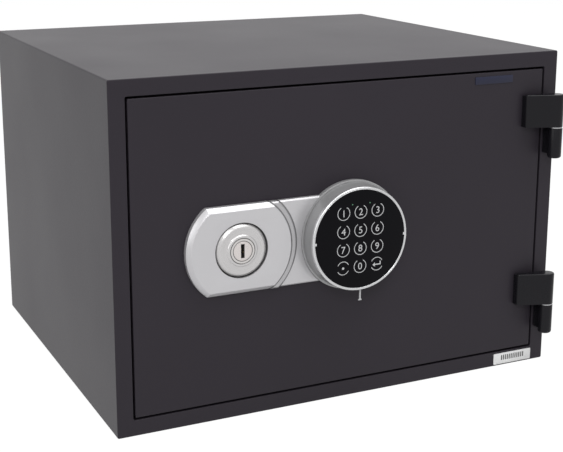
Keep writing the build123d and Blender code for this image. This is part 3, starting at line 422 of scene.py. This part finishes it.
def sticker_paper(corner, size):
    """A white sticker with a plain row of even grey bars. The corner is its lowest x and z."""
    s = material("sticker_paper")
    x, _, z = s.split((-corner[0], 0, -corner[1]))
    across, up = x / size[0], z / size[1]
    low, high = LABEL_BAR_SPAN
    bar = ((across - low) / ((high - low) / LABEL_BARS)).maths("FRACT") < LABEL_BAR_SHARE
    inside = (across > low) * (across < high) * (up > LABEL_BAR_HEIGHT[0]) * (up < LABEL_BAR_HEIGHT[1])
    fibre = s.noise(900, 3)
    paper = s.mix(fibre, (0.66, 0.66, 0.66), (0.75, 0.75, 0.75))
    return s.finish(
        Base_Color=s.mix(bar * inside * 0.96, paper, (0.020, 0.020, 0.020)),
        Roughness=0.5 + (fibre - 0.5) * 0.1,
        Specular_Ior_Level=0.3,
        Normal=s.bump(fibre, 0.01 * MM, 0.4),
    )


def badge_foil():
    """A navy foil badge, left bare, with a painted sheen that makes it lighter towards the top."""
    s = material("badge_foil")
    low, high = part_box("door_badge")
    # Painted sheen: the foil's colour lightens towards its top.
    up = s.split((0, 0, -low.z))[2] / (high.z - low.z)
    grain = s.noise(1600, 2)
    return s.finish(
        Base_Color=s.mix(up**2 * 0.6 + grain * 0.2, (0.0075, 0.0085, 0.026), (0.014, 0.017, 0.045)),
        Metallic=0.2,
        Roughness=0.30 + (grain - 0.5) * 0.12,
        Specular_Ior_Level=0.4,
        Normal=s.bump(grain, 0.01 * MM, 0.4),
    )


def circuit_board():
    """Green board with a faint weave and traces."""
    s = material("circuit_board")
    weave = s.node("TexWave", {}, {"Vector": s.place(), "Scale": 900.0, "Distortion": 2.0}, "Fac")
    return s.finish(
        Base_Color=s.mix(weave, (0.010, 0.085, 0.030), (0.020, 0.125, 0.048)),
        Roughness=0.45,
        Normal=s.bump(weave, 0.02 * MM, 0.4),
    )


def cell_jacket():
    """A battery cell's plain two-tone jacket: dark, with a copper end."""
    s = material("cell_jacket")
    low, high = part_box("batteries")
    along = s.split((-low.x, 0, 0))[0] / (high.x - low.x)
    fine = s.noise(1200, 2)
    return s.finish(
        Base_Color=s.mix(along > 0.72, (0.018, 0.019, 0.022), (0.46, 0.20, 0.09)),
        Metallic=0.6,
        Roughness=0.30 + (fine - 0.5) * 0.12,
        Normal=s.bump(fine, 0.01 * MM, 0.4),
    )


lock_low, lock_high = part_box("key_plug")
LOCK_MIDDLE = ((lock_low.x + lock_high.x) / 2, 0.0, (lock_low.z + lock_high.z) / 2)
glass_low, glass_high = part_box("touch_glass")
DIAL_MIDDLE = (0.0, 0.0, (glass_low.z + glass_high.z) / 2)
label_low, label_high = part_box("rim_label")
LABEL_SIZE = (label_high.x - label_low.x, label_high.z - label_low.z)

# Seams of the cylinder and the keyway's half width and half height, both darkened with painted shade.
LOCK_SEAMS = ((8.6 * MM, 9.25 * MM), (11.0 * MM, 11.5 * MM))
KEYWAY_HALF = (1.72 * MM, 6.22 * MM)

finishes = {
    "coat": powder_coat("case_coat", COAT),
    "jamb": powder_coat("jamb_coat", shade(COAT, -0.1), 0.5, 0.16),
    "hinge": powder_coat("hinge_coat", HINGE_COAT, 0.26, 0.16, 1400),
    "liner": powder_coat("liner_coat", LINER_COAT, 0.5, 0.4, 900),
    "fill": cast_fill(),
    "plate": plate_silver(),
    "rosette": turned_metal("rosette_nickel", (0.51, 0.50, 0.50), 0.28, LOCK_MIDDLE, 0.2, 0.004, 0.65),
    "cylinder": turned_metal(
        "cylinder_nickel", (0.56, 0.54, 0.53), 0.26, LOCK_MIDDLE, 0.1, 0.004, 0.6, seams=LOCK_SEAMS
    ),
    "plug": turned_metal(
        "plug_nickel", (0.60, 0.56, 0.545), 0.30, LOCK_MIDDLE, 0.14, 0.004, 0.6, slot=KEYWAY_HALF
    ),
    # Ward brass darkened far below its own tone, as painted shade for the deep keyway.
    "ward": drawn_metal("ward_brass_painted_shade", (0.12, 0.095, 0.06), 0.4, "Y"),
    "bezel": turned_metal("bezel_bright", (0.56, 0.56, 0.57), 0.26, DIAL_MIDDLE, 0.3, 0.003, 0.7),
    "dial": dial_side(),
    "glass": black_glass(),
    "ink": printing("printed_ink", (0.50, 0.50, 0.51)),
    "lamp": lamp_dot(),
    "tray": moulded_plastic("tray_plastic", (0.060, 0.060, 0.064), 0.42),
    "tab": moulded_plastic("tab_plastic", (0.42, 0.42, 0.43), 0.38),
    "cell": cell_jacket(),
    "cell_end": drawn_metal("cell_metal", (0.60, 0.59, 0.57), 0.28, "Y"),
    "board": circuit_board(),
    "seal": seal_strip(),
    "label": sticker_paper((label_low.x, label_low.z), LABEL_SIZE),
    "badge": badge_foil(),
    "zinc": drawn_metal("zinc_plate", (0.56, 0.56, 0.53), 0.36, "Z", stain=0.08),
    "bolt": drawn_metal("bright_bar", (0.50, 0.50, 0.51), 0.26, "X"),
    "shaft": drawn_metal("shaft_steel", (0.58, 0.58, 0.59), 0.25, "Y"),
    "pin": drawn_metal("pin_steel", (0.60, 0.60, 0.61), 0.24, "Z"),
    "washer": drawn_metal("washer_steel", (0.38, 0.38, 0.39), 0.32, "X"),
    "screw": satin_silver("screw_zinc", (0.40, 0.40, 0.40), 0.36),
    "brass": turned_metal("bushing_brass", (0.62, 0.42, 0.16), 0.28, DIAL_MIDDLE),
    "cable": moulded_plastic("cable_sheath", (0.012, 0.012, 0.012), 0.55, 900, 0.05),
}

NODE_FINISHES = {
    "coat": ["outer_case", "back_panel", "door_skin"],
    "jamb": ["door_frame"],
    "hinge": ["upper_hinge_block", "lower_hinge_block", "upper_hinge_knuckle", "lower_hinge_knuckle"],
    "liner": ["inner_liner", "shelf", "shelf_rails", "door_liner", "door_back_cover"],
    "fill": ["body_insulation", "door_insulation"],
    "plate": ["lock_plate"],
    "rosette": ["key_rosette"],
    "cylinder": ["key_cylinder"],
    "plug": ["key_plug"],
    "bezel": ["dial_bezel"],
    "dial": ["dial_housing", "dial_base"],
    "glass": ["touch_glass"],
    "tray": ["battery_tray"],
    "tab": ["pull_tab"],
    "cell": ["batteries"],
    "board": ["keypad_board"],
    "seal": ["door_seal"],
    "label": ["rim_label"],
    "badge": ["door_badge"],
    "zinc": [
        "anchor_sleeves", "bolt_bar", "bolt_guides", "cable_tube", "guide_posts", "hinge_strike", "key_cam",
        "key_tail_tube", "lock_strike", "mechanism_plate", "solenoid_case", "spindle_tube", "plunger_spring",
    ],
    "bolt": ["locking_bolts", "fixed_bolts"],
    "shaft": ["spindle", "key_tail_bar", "solenoid_plunger", "drive_pinion"],
    "pin": ["hinge_pins"],
    "washer": ["hinge_washers"],
    "screw": ["cover_screws", "bolt_screws", "cylinder_nut", "spindle_clip"],
    "brass": ["front_bushing", "rear_bushing"],
    "cable": ["lock_cable"],
}


def dress(piece, finish):
    """Gives a piece or a node one finish."""
    slots = piece.data.materials
    if len(slots):
        for index in range(len(slots)):
            slots[index] = finishes[finish]
    else:
        slots.append(finishes[finish])


finish_of = {node: finish for finish, group in NODE_FINISHES.items() for node in group}
for name, node in nodes.items():
    dress(node, finish_of[name])


# Modelling helpers
FLAT_AREA = 80 * MM * MM
FLAT_ANGLE = 0.6
WELD = 1e-6
FINE_WELD = 1e-7


def add_piece(name, shape, body, finish, replaced=(), smooth=35):
    """Makes an object of a bmesh and lets it ride on a body. Large faces are flat ones, and shade flat."""
    bmesh.ops.recalc_face_normals(shape, faces=shape.faces)
    mesh = bpy.data.meshes.new(name)
    shape.to_mesh(mesh)
    shape.free()
    for face in mesh.polygons:
        face.use_smooth = face.area < FLAT_AREA
    mesh.set_sharp_from_angle(angle=math.radians(smooth))
    piece = bpy.data.objects.new(name, mesh)
    bpy.context.scene.collection.objects.link(piece)
    dress(piece, finish)
    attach(piece, body)
    if replaced:
        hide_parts(*replaced)


def body_of(node):
    """The body that a CAD node belongs to."""
    return nodes[node]["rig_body"]


def sharp_edges(shape, angle):
    """The edges whose faces meet at more than an angle in degrees."""
    return [e for e in shape.edges if len(e.link_faces) == 2 and e.calc_face_angle(0) > math.radians(angle)]


def new_verts(result):
    """The vertices among what an operator made."""
    return [item for item in result["geom"] if isinstance(item, bmesh.types.BMVert)]


def round_edges(shape, edges, width, segments=2, clamp=False):
    """Rounds edges with a small bevel."""
    bmesh.ops.bevel(
        shape,
        geom=edges,
        offset=width,
        affect="EDGES",
        segments=segments,
        profile=0.5,
        clamp_overlap=clamp,
        material=-1,
    )


def merge_into(shape, piece):
    """Adds one bmesh to another and frees it."""
    mesh = bpy.data.meshes.new("merged")
    piece.to_mesh(mesh)
    piece.free()
    shape.from_mesh(mesh)
    bpy.data.meshes.remove(mesh)


def ease(node, width, segments=2, angle=28):
    """Replaces a CAD node with a copy whose sharp edges are broken by a small round."""
    shape = bmesh.new()
    shape.from_mesh(nodes[node].data)
    bmesh.ops.remove_doubles(shape, verts=shape.verts, dist=WELD)
    bmesh.ops.dissolve_limit(
        shape,
        angle_limit=math.radians(FLAT_ANGLE),
        use_dissolve_boundaries=False,
        verts=shape.verts,
        edges=shape.edges,
    )
    round_edges(shape, sharp_edges(shape, angle), width, segments, True)
    bmesh.ops.remove_doubles(shape, verts=shape.verts, dist=WELD)
    add_piece(node + "_eased", shape, body_of(node), finish_of[node], (node,))


def spin_profile(shape, profile, centre, steps):
    """Spins a closed profile of radius and y about the line along Y at a centre."""
    verts = [shape.verts.new((centre[0] + radius, y, centre[2])) for radius, y in profile]
    edges = [shape.edges.new(pair) for pair in zip(verts, verts[1:])]
    edges.append(shape.edges.new((verts[-1], verts[0])))
    bmesh.ops.spin(
        shape,
        geom=verts + edges,
        cent=centre,
        axis=(0, 1, 0),
        angle=2 * math.pi,
        steps=steps,
        use_merge=True,
        use_duplicate=False,
    )
    bmesh.ops.remove_doubles(shape, verts=shape.verts, dist=FINE_WELD)


def round_corner(before, corner, after, radius, steps=4):
    """Points that round one corner of a profile."""
    corner = Vector(corner)
    first = corner + (Vector(before) - corner).normalized() * radius
    last = corner + (Vector(after) - corner).normalized() * radius
    points = []
    for index in range(steps + 1):
        share = index / steps
        points.append(tuple(first.lerp(corner, share).lerp(corner.lerp(last, share), share)))
    return points


def rounded_profile(points):
    """A closed profile from points of radius, y and corner radius."""
    outline = []
    for index, (radius, y, corner) in enumerate(points):
        before = points[index - 1][:2]
        after = points[(index + 1) % len(points)][:2]
        if corner:
            outline += round_corner(before, (radius, y), after, corner)
        else:
            outline.append((radius, y))
    return outline


# Dial: bezel, glass and its printing
def dial_bezel():
    """The bright ring: a rounded outer shoulder, a flat and a thin inner lip."""
    low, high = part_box("dial_bezel")
    outer = high.x
    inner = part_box("touch_glass")[1].x
    front, rear = low.y, high.y
    lip = 0.55 * MM
    valley = 0.22 * MM
    shape = bmesh.new()
    profile = rounded_profile(
        [
            (inner + 0.02 * MM, rear, 0),
            (outer, rear, 0),
            (outer, front + 0.9 * MM, 0.6 * MM),
            (outer - 0.9 * MM, front, 0.5 * MM),
            (inner + lip + 0.5 * MM, front, 0.15 * MM),
            (inner + lip + 0.2 * MM, front + valley, 0.1 * MM),
            (inner + lip, front, 0.15 * MM),
            (inner + 0.02 * MM, front + 0.35 * MM, 0.1 * MM),
        ]
    )
    spin_profile(shape, profile, DIAL_MIDDLE, 160)
    add_piece("bezel_ring", shape, "dial", "bezel", ("dial_bezel",), 50)


GLASS_ROUND = 0.25 * MM


def glass_face():
    """The polished disc of the keypad, its rim just broken."""
    low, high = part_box("touch_glass")
    shape = bmesh.new()
    bmesh.ops.create_circle(shape, cap_ends=True, radius=high.x, segments=160)
    bmesh.ops.rotate(shape, verts=shape.verts, matrix=Matrix.Rotation(math.pi / 2, 3, "X"))
    bmesh.ops.translate(shape, verts=shape.verts, vec=(DIAL_MIDDLE[0], high.y, DIAL_MIDDLE[2]))
    disc = bmesh.ops.extrude_face_region(shape, geom=shape.faces[:])
    bmesh.ops.translate(shape, verts=new_verts(disc), vec=(0, low.y - high.y, 0))
    rim = [e for e in shape.edges if all(abs(v.co.y - low.y) < WELD for v in e.verts)]
    round_edges(shape, rim, GLASS_ROUND, 3, True)
    add_piece("glass_face", shape, "dial", "glass", ("touch_glass",))


KEY_PITCH = (17.1 * MM, 16.7 * MM)
TOP_ROW_RISE = 25.1 * MM
RING_RADIUS = 6.0 * MM
RING_STROKE = 0.62 * MM
RING_SPAN = (118, 422)
CAP_SPANS = ((28, 152), (208, 332))
DIGIT_HEIGHT = 6.24 * MM
DOT_RADIUS = 1.15 * MM
DOT_DROP = 0.2 * MM
ARROW_SCALE = 1.15 * MM
ARROW = (
    (-3.8, -0.5), (-1.7, 1.3), (-1.7, -0.05), (2.6, -0.05), (2.6, 2.0),
    (3.5, 2.0), (3.5, -0.95), (-1.7, -0.95), (-1.7, -2.3),
)
PRINT_THICKNESS = 0.04 * MM


def key_spot(column, row):
    """The centre of a key as x and z."""
    return (column - 1) * KEY_PITCH[0], DIAL_MIDDLE[2] + TOP_ROW_RISE - row * KEY_PITCH[1]


def ring_arc(shape, centre, span, steps=40):
    """A flat printed arc over a span of degrees, counted anticlockwise from the right."""
    face_y = glass_low.y
    first = math.radians(span[0])
    verts = [
        shape.verts.new((centre[0] + reach * math.cos(first), face_y, centre[1] + reach * math.sin(first)))
        for reach in (RING_RADIUS - RING_STROKE / 2, RING_RADIUS + RING_STROKE / 2)
    ]
    edge = shape.edges.new(verts)
    bmesh.ops.spin(
        shape,
        geom=verts + [edge],
        cent=(centre[0], face_y, centre[1]),
        axis=(0, -1, 0),
        angle=math.radians(span[1] - span[0]),
        steps=steps,
        use_merge=False,
        use_duplicate=False,
    )


def thicken(shape):
    """Gives flat printing its thickness, forwards from the glass."""
    bmesh.ops.remove_doubles(shape, verts=shape.verts, dist=FINE_WELD)
    raised = bmesh.ops.extrude_face_region(shape, geom=shape.faces[:])
    bmesh.ops.translate(shape, verts=new_verts(raised), vec=(0, -PRINT_THICKNESS, 0))


def digit_mesh(text, centre):
    """A digit as a mesh on the glass, centred on a spot."""
    curve = bpy.data.curves.new("digit_" + text, "FONT")
    curve.body = text
    curve.size = 1.0
    curve.resolution_u = 6
    maker = bpy.data.objects.new("digit_" + text, curve)
    bpy.context.scene.collection.objects.link(maker)
    bpy.context.view_layer.update()
    mesh = bpy.data.meshes.new_from_object(maker.evaluated_get(bpy.context.evaluated_depsgraph_get()))
    bpy.data.objects.remove(maker)
    xs = [v.co.x for v in mesh.vertices]
    ys = [v.co.y for v in mesh.vertices]
    size = DIGIT_HEIGHT / (max(ys) - min(ys))
    middle = Vector(((max(xs) + min(xs)) / 2, (max(ys) + min(ys)) / 2, 0))
    stand = Matrix.Translation((centre[0], glass_low.y, centre[1])) @ Matrix.Rotation(math.pi / 2, 4, "X")
    mesh.transform(stand @ Matrix.Scale(size, 4) @ Matrix.Translation(-middle))
    return mesh


def keypad_printing():
    """Digits in open rings, a dot key and a return key with a plain arrow."""
    rings = bmesh.new()
    for index in range(9):
        ring_arc(rings, key_spot(index % 3, index // 3), RING_SPAN)
    ring_arc(rings, key_spot(1, 3), RING_SPAN)
    for column in (0, 2):
        for span in CAP_SPANS:
            ring_arc(rings, key_spot(column, 3), span, 20)
    thicken(rings)
    add_piece("key_rings", rings, "dial", "ink")

    digits = bmesh.new()
    for index, text in enumerate("1234567890"):
        column, row = (index % 3, index // 3) if index < 9 else (1, 3)
        mesh = digit_mesh(text, key_spot(column, row))
        digits.from_mesh(mesh)
        bpy.data.meshes.remove(mesh)
    thicken(digits)
    add_piece("key_digits", digits, "dial", "ink")

    marks = bmesh.new()
    dot = key_spot(0, 3)
    disc = bmesh.ops.create_circle(marks, cap_ends=True, radius=DOT_RADIUS, segments=24)
    bmesh.ops.rotate(marks, verts=disc["verts"], matrix=Matrix.Rotation(math.pi / 2, 3, "X"))
    bmesh.ops.translate(marks, verts=disc["verts"], vec=(dot[0], glass_low.y, dot[1] - DOT_DROP))
    x, z = key_spot(2, 3)
    marks.faces.new(
        [marks.verts.new((x + right * ARROW_SCALE, glass_low.y, z + up * ARROW_SCALE)) for right, up in ARROW]
    )
    thicken(marks)
    add_piece("key_marks", marks, "dial", "ink")


INDICATORS = (-8.5 * MM, 9.0 * MM)
INDICATOR_RISE = 32.4 * MM
INDICATOR_RADIUS = 0.62 * MM
INDICATOR_FLATNESS = 0.12
CATCH_SIZE = (1.7 * MM, 0.34 * MM, 2.4 * MM)
CATCH_INSET = 0.55 * MM
CATCH_RISE = 0.1 * MM
CATCH_ROUND = 0.14 * MM


def indicator_dots():
    """Two small indicators above the keys."""
    shape = bmesh.new()
    for x in INDICATORS:
        lens = bmesh.ops.create_uvsphere(shape, u_segments=16, v_segments=8, radius=INDICATOR_RADIUS)
        bmesh.ops.scale(shape, verts=lens["verts"], vec=(1, INDICATOR_FLATNESS, 1))
        bmesh.ops.translate(shape, verts=lens["verts"], vec=(x, glass_low.y, DIAL_MIDDLE[2] + INDICATOR_RISE))
    add_piece("indicator_dots", shape, "dial", "lamp")


def bezel_catches():
    """Two small bright catches that hold the glass at the sides of the bezel."""
    shape = bmesh.new()
    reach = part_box("touch_glass")[1].x
    for side in (-1, 1):
        catch = bmesh.ops.create_cube(shape, size=1.0)["verts"]
        bmesh.ops.scale(shape, verts=catch, vec=CATCH_SIZE)
        place = (side * (reach - CATCH_INSET), glass_low.y - CATCH_RISE, DIAL_MIDDLE[2])
        bmesh.ops.translate(shape, verts=catch, vec=place)
    round_edges(shape, shape.edges[:], CATCH_ROUND)
    add_piece("bezel_catches", shape, "dial", "bezel")


dial_bezel()
glass_face()
keypad_printing()
indicator_dots()
bezel_catches()


# Key lock
def key_rosette():
    """The spun rosette: outer shoulder, shallow dish and a small raised ring at the cylinder."""
    low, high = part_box("key_rosette")
    outer = high.x - LOCK_MIDDLE[0]
    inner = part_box("key_cylinder")[1].x - LOCK_MIDDLE[0] + 0.30 * MM
    front, back = low.y, high.y
    shape = bmesh.new()
    profile = rounded_profile(
        [
            (inner, back, 0),
            (outer, back, 0),
            (outer, front + 3.6 * MM, 0.8 * MM),
            (outer - 3.4 * MM, front + 0.8 * MM, 1.2 * MM),
            (outer - 6.6 * MM, front + 1.5 * MM, 1.4 * MM),
            (inner + 2.6 * MM, front + 1.3 * MM, 0.5 * MM),
            (inner + 1.7 * MM, front + 0.1 * MM, 0.5 * MM),
            (inner, front, 0.12 * MM),
        ]
    )
    spin_profile(shape, profile, LOCK_MIDDLE, 144)
    add_piece("rosette_spun", shape, "door", "rosette", ("key_rosette",), 60)


WARDS = ((-1.15, 1.7, 1.1, 1.5), (1.15, -1.2, 1.1, 1.7), (-1.25, -4.3, 0.9, 1.2))
WARD_LENGTH = 12.0 * MM
WARD_MIDDLE = 7.2 * MM
WARD_ROUND = 0.15 * MM


def key_wards():
    """Three ribs inside the keyway, each with its place across and up, its width and its height."""
    face_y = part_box("key_plug")[0].y
    shape = bmesh.new()
    for x, z, width, height in WARDS:
        rib = bmesh.ops.create_cube(shape, size=1.0)["verts"]
        bmesh.ops.scale(shape, verts=rib, vec=(width * MM, WARD_LENGTH, height * MM))
        place = (LOCK_MIDDLE[0] + x * MM, face_y + WARD_MIDDLE, LOCK_MIDDLE[2] + z * MM)
        bmesh.ops.translate(shape, verts=rib, vec=place)
    round_edges(shape, shape.edges[:], WARD_ROUND)
    add_piece("keyway_wards", shape, "key_works", "ward")


key_rosette()
key_wards()
ease("key_plug", 0.12 * MM, 2)
ease("key_cylinder", 0.12 * MM, 2)
ease("lock_plate", 0.55 * MM, 3, 20)


# Fasteners and cells. The screw's shares are of its head's radius or height.
HEAD_RINGS = 6
HEAD_DOME = 2.6
SLOT_HALF_WIDTH = 0.16
SLOT_REACH = 0.60
SLOT_FLOOR = 0.30
SLOT_TAPER = 0.82
SKIRT_DEPTH = 0.15


def cross_screw(shape, spot, radius, height, seat_y):
    """A domed screw head with a cross recess, facing +Y, at a spot of x and z."""
    head = bmesh.new()
    bmesh.ops.create_circle(head, cap_ends=False, radius=radius, segments=40)
    rim = head.verts[:]
    edges = head.edges[:]
    for ring in range(1, HEAD_RINGS):
        grown = bmesh.ops.extrude_edge_only(head, edges=edges)
        edges = [item for item in grown["geom"] if isinstance(item, bmesh.types.BMEdge)]
        share = 1 - ring / HEAD_RINGS
        for vert in new_verts(grown):
            flat = Vector((vert.co.x, vert.co.y)).normalized() * radius * share
            vert.co = (flat.x, flat.y, 0)
    bmesh.ops.contextual_create(head, geom=edges)
    slot = radius * SLOT_HALF_WIDTH
    reach = radius * SLOT_REACH
    for axis in ((1, 0, 0), (0, 1, 0)):
        for side in (-1, 1):
            for distance in (slot, reach):
                bmesh.ops.bisect_plane(
                    head,
                    geom=head.verts[:] + head.edges[:] + head.faces[:],
                    plane_co=tuple(side * distance * value for value in axis),
                    plane_no=axis,
                )
    for vert in head.verts:
        share = min(1.0, vert.co.to_2d().length / radius)
        vert.co.z = height * (1 - share**HEAD_DOME)
    bmesh.ops.recalc_face_normals(head, faces=head.faces)
    recess = []
    for face in head.faces:
        middle = face.calc_center_median()
        across, up = abs(middle.x), abs(middle.y)
        if (across < slot and up < reach) or (up < slot and across < reach):
            recess.append(face)
    sunk = bmesh.ops.extrude_face_region(head, geom=recess)
    for vert in new_verts(sunk):
        vert.co.z = height * SLOT_FLOOR
        vert.co.x *= SLOT_TAPER
        vert.co.y *= SLOT_TAPER
    bmesh.ops.delete(head, geom=recess, context="FACES")
    edge = [e for e in head.edges if e.is_boundary and all(v in rim for v in e.verts)]
    skirt = bmesh.ops.extrude_edge_only(head, edges=edge)
    for vert in new_verts(skirt):
        vert.co.z = -height * SKIRT_DEPTH
    stand = Matrix.Translation((spot[0], seat_y, spot[1])) @ Matrix.Rotation(-math.pi / 2, 4, "X")
    bmesh.ops.transform(head, matrix=stand, verts=head.verts)
    merge_into(shape, head)


SCREW_HEAD_RADIUS = 4.0 * MM


def cover_screws():
    """The screws of the door's back cover."""
    low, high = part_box("cover_screws")
    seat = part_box("door_back_cover")[1].y
    radius = SCREW_HEAD_RADIUS
    xs = (low.x + radius, (low.x + high.x) / 2, high.x - radius)
    zs = (low.z + radius, high.z - radius)
    shape = bmesh.new()
    for x in xs:
        for z in zs:
            cross_screw(shape, (x, z), radius, high.y - seat, seat)
    add_piece("cover_screw_heads", shape, "door", "screw", ("cover_screws",), 40)


CELL_NUB = 0.8 * MM
CELL_CRIMP = 0.9 * MM
CELL_ROUND = 0.35 * MM
CELL_LAP = 0.02 * MM


def battery_cells():
    """Two cells: a jacket with crimped ends and a small contact on one end."""
    low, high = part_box("batteries")
    radius = (high.y - low.y) / 2
    centre_y = (low.y + high.y) / 2
    jacket = rounded_profile(
        [
            (radius - CELL_CRIMP, low.x + CELL_LAP, 0),
            (radius, low.x + CELL_LAP, CELL_ROUND),
            (radius, high.x - CELL_NUB - CELL_LAP, CELL_ROUND),
            (radius - CELL_CRIMP, high.x - CELL_NUB - CELL_LAP, 0),
        ]
    )
    core = [
        (0, low.x),
        (radius - 1.0 * MM, low.x),
        (radius - 1.0 * MM, high.x - CELL_NUB - 0.1 * MM),
        (1.9 * MM, high.x - CELL_NUB),
        (1.9 * MM, high.x - 0.15 * MM),
        (1.75 * MM, high.x),
        (0, high.x),
    ]
    jackets, ends = bmesh.new(), bmesh.new()
    for z in (high.z - radius, low.z + radius):
        lay = Matrix.Translation((0, centre_y, z)) @ Matrix.Rotation(-math.pi / 2, 4, "Z")
        for shape, profile in ((jackets, jacket), (ends, core)):
            turned = bmesh.new()
            spin_profile(turned, profile, (0, 0, 0), 48)
            bmesh.ops.transform(turned, matrix=lay, verts=turned.verts)
            merge_into(shape, turned)
    add_piece("cell_jackets", jackets, "battery_drawer", "cell", ("batteries",))
    add_piece("cell_ends", ends, "battery_drawer", "cell_end")


cover_screws()
battery_cells()

# Broken edges on the folded and cut pieces
for node, width in (
    ("door_liner", 0.5 * MM),
    ("door_seal", 0.7 * MM),
    ("shelf", 0.35 * MM),
    ("shelf_rails", 0.35 * MM),
    ("upper_hinge_block", 0.7 * MM),
    ("lower_hinge_block", 0.7 * MM),
    ("upper_hinge_knuckle", 0.3 * MM),
    ("lower_hinge_knuckle", 0.3 * MM),
    ("hinge_washers", 0.3 * MM),
    ("pull_tab", 0.2 * MM),
    ("battery_tray", 0.3 * MM),
    ("dial_base", 0.3 * MM),
    ("rim_label", 0.08 * MM),
    ("door_badge", 0.12 * MM),
):
    ease(node, width)


# Floor, backdrop and light
FLOOR_RADIUS = 14.0
FLOOR_DROP = 0.3 * MM
FLOOR_GLOW = 1.07
FLOOR_GLOW_SHARE = 0.9
AMBIENT = 0.45
AIM = Vector((0, 0, 0.15))
LAMPS = (
    ("top_lamp", (0.35, -0.5, 1.9), 1.5, 26),
    ("left_lamp", (-2.0, -0.6, 0.9), 1.2, 8),
    ("front_lamp", (-0.9, -1.9, 1.5), 0.7, 16),
)


def make_floor():
    """A pale floor that looks white and keeps the shadow."""
    shape = bmesh.new()
    bmesh.ops.create_circle(shape, cap_ends=True, radius=FLOOR_RADIUS, segments=96)
    mesh = bpy.data.meshes.new("floor")
    shape.to_mesh(mesh)
    shape.free()
    floor = bpy.data.objects.new("floor", mesh)
    bpy.context.scene.collection.objects.link(floor)
    floor.location.z = -FLOOR_DROP
    s = material("floor_paper")
    grain = s.noise(60, 3)
    paper = s.node("BsdfDiffuse", {}, {"Color": s.mix(grain, (0.78, 0.78, 0.78), (0.82, 0.82, 0.82))})
    glow = s.node("Emission", {}, {"Color": (1, 1, 1), "Strength": FLOOR_GLOW})
    surface = s.node("MixShader", {}, {0: s.seen() * FLOOR_GLOW_SHARE, 1: paper, 2: glow})
    s.node("OutputMaterial", {}, {"Surface": surface}, None)
    mesh.materials.append(s.owner)


def make_world():
    """White where the camera and the shiny pieces look, a plain ambient light elsewhere."""
    world = bpy.data.worlds.new("studio")
    bpy.context.scene.world = world
    s = Shader(world)
    soft = s.node("Background", {}, {"Color": (1, 1, 1), "Strength": AMBIENT})
    white = s.node("Background", {}, {"Color": (1, 1, 1), "Strength": 1.0})
    both = s.node("MixShader", {}, {0: s.seen(), 1: soft, 2: white})
    s.node("OutputWorld", {}, {"Surface": both}, None)


def add_lamp(name, place, size, power):
    """A square soft lamp turned to the object's middle. Its size is in metres, its power in watts."""
    data = bpy.data.lights.new(name, "AREA")
    data.shape = "SQUARE"
    data.size = size
    data.energy = power
    lamp = bpy.data.objects.new(name, data)
    bpy.context.scene.collection.objects.link(lamp)
    lamp.location = place
    lamp.rotation_euler = (AIM - Vector(place)).to_track_quat("-Z", "Y").to_euler()


make_floor()
make_world()
for lamp in LAMPS:
    add_lamp(*lamp)
bpy.context.scene.view_settings.view_transform = "Standard"
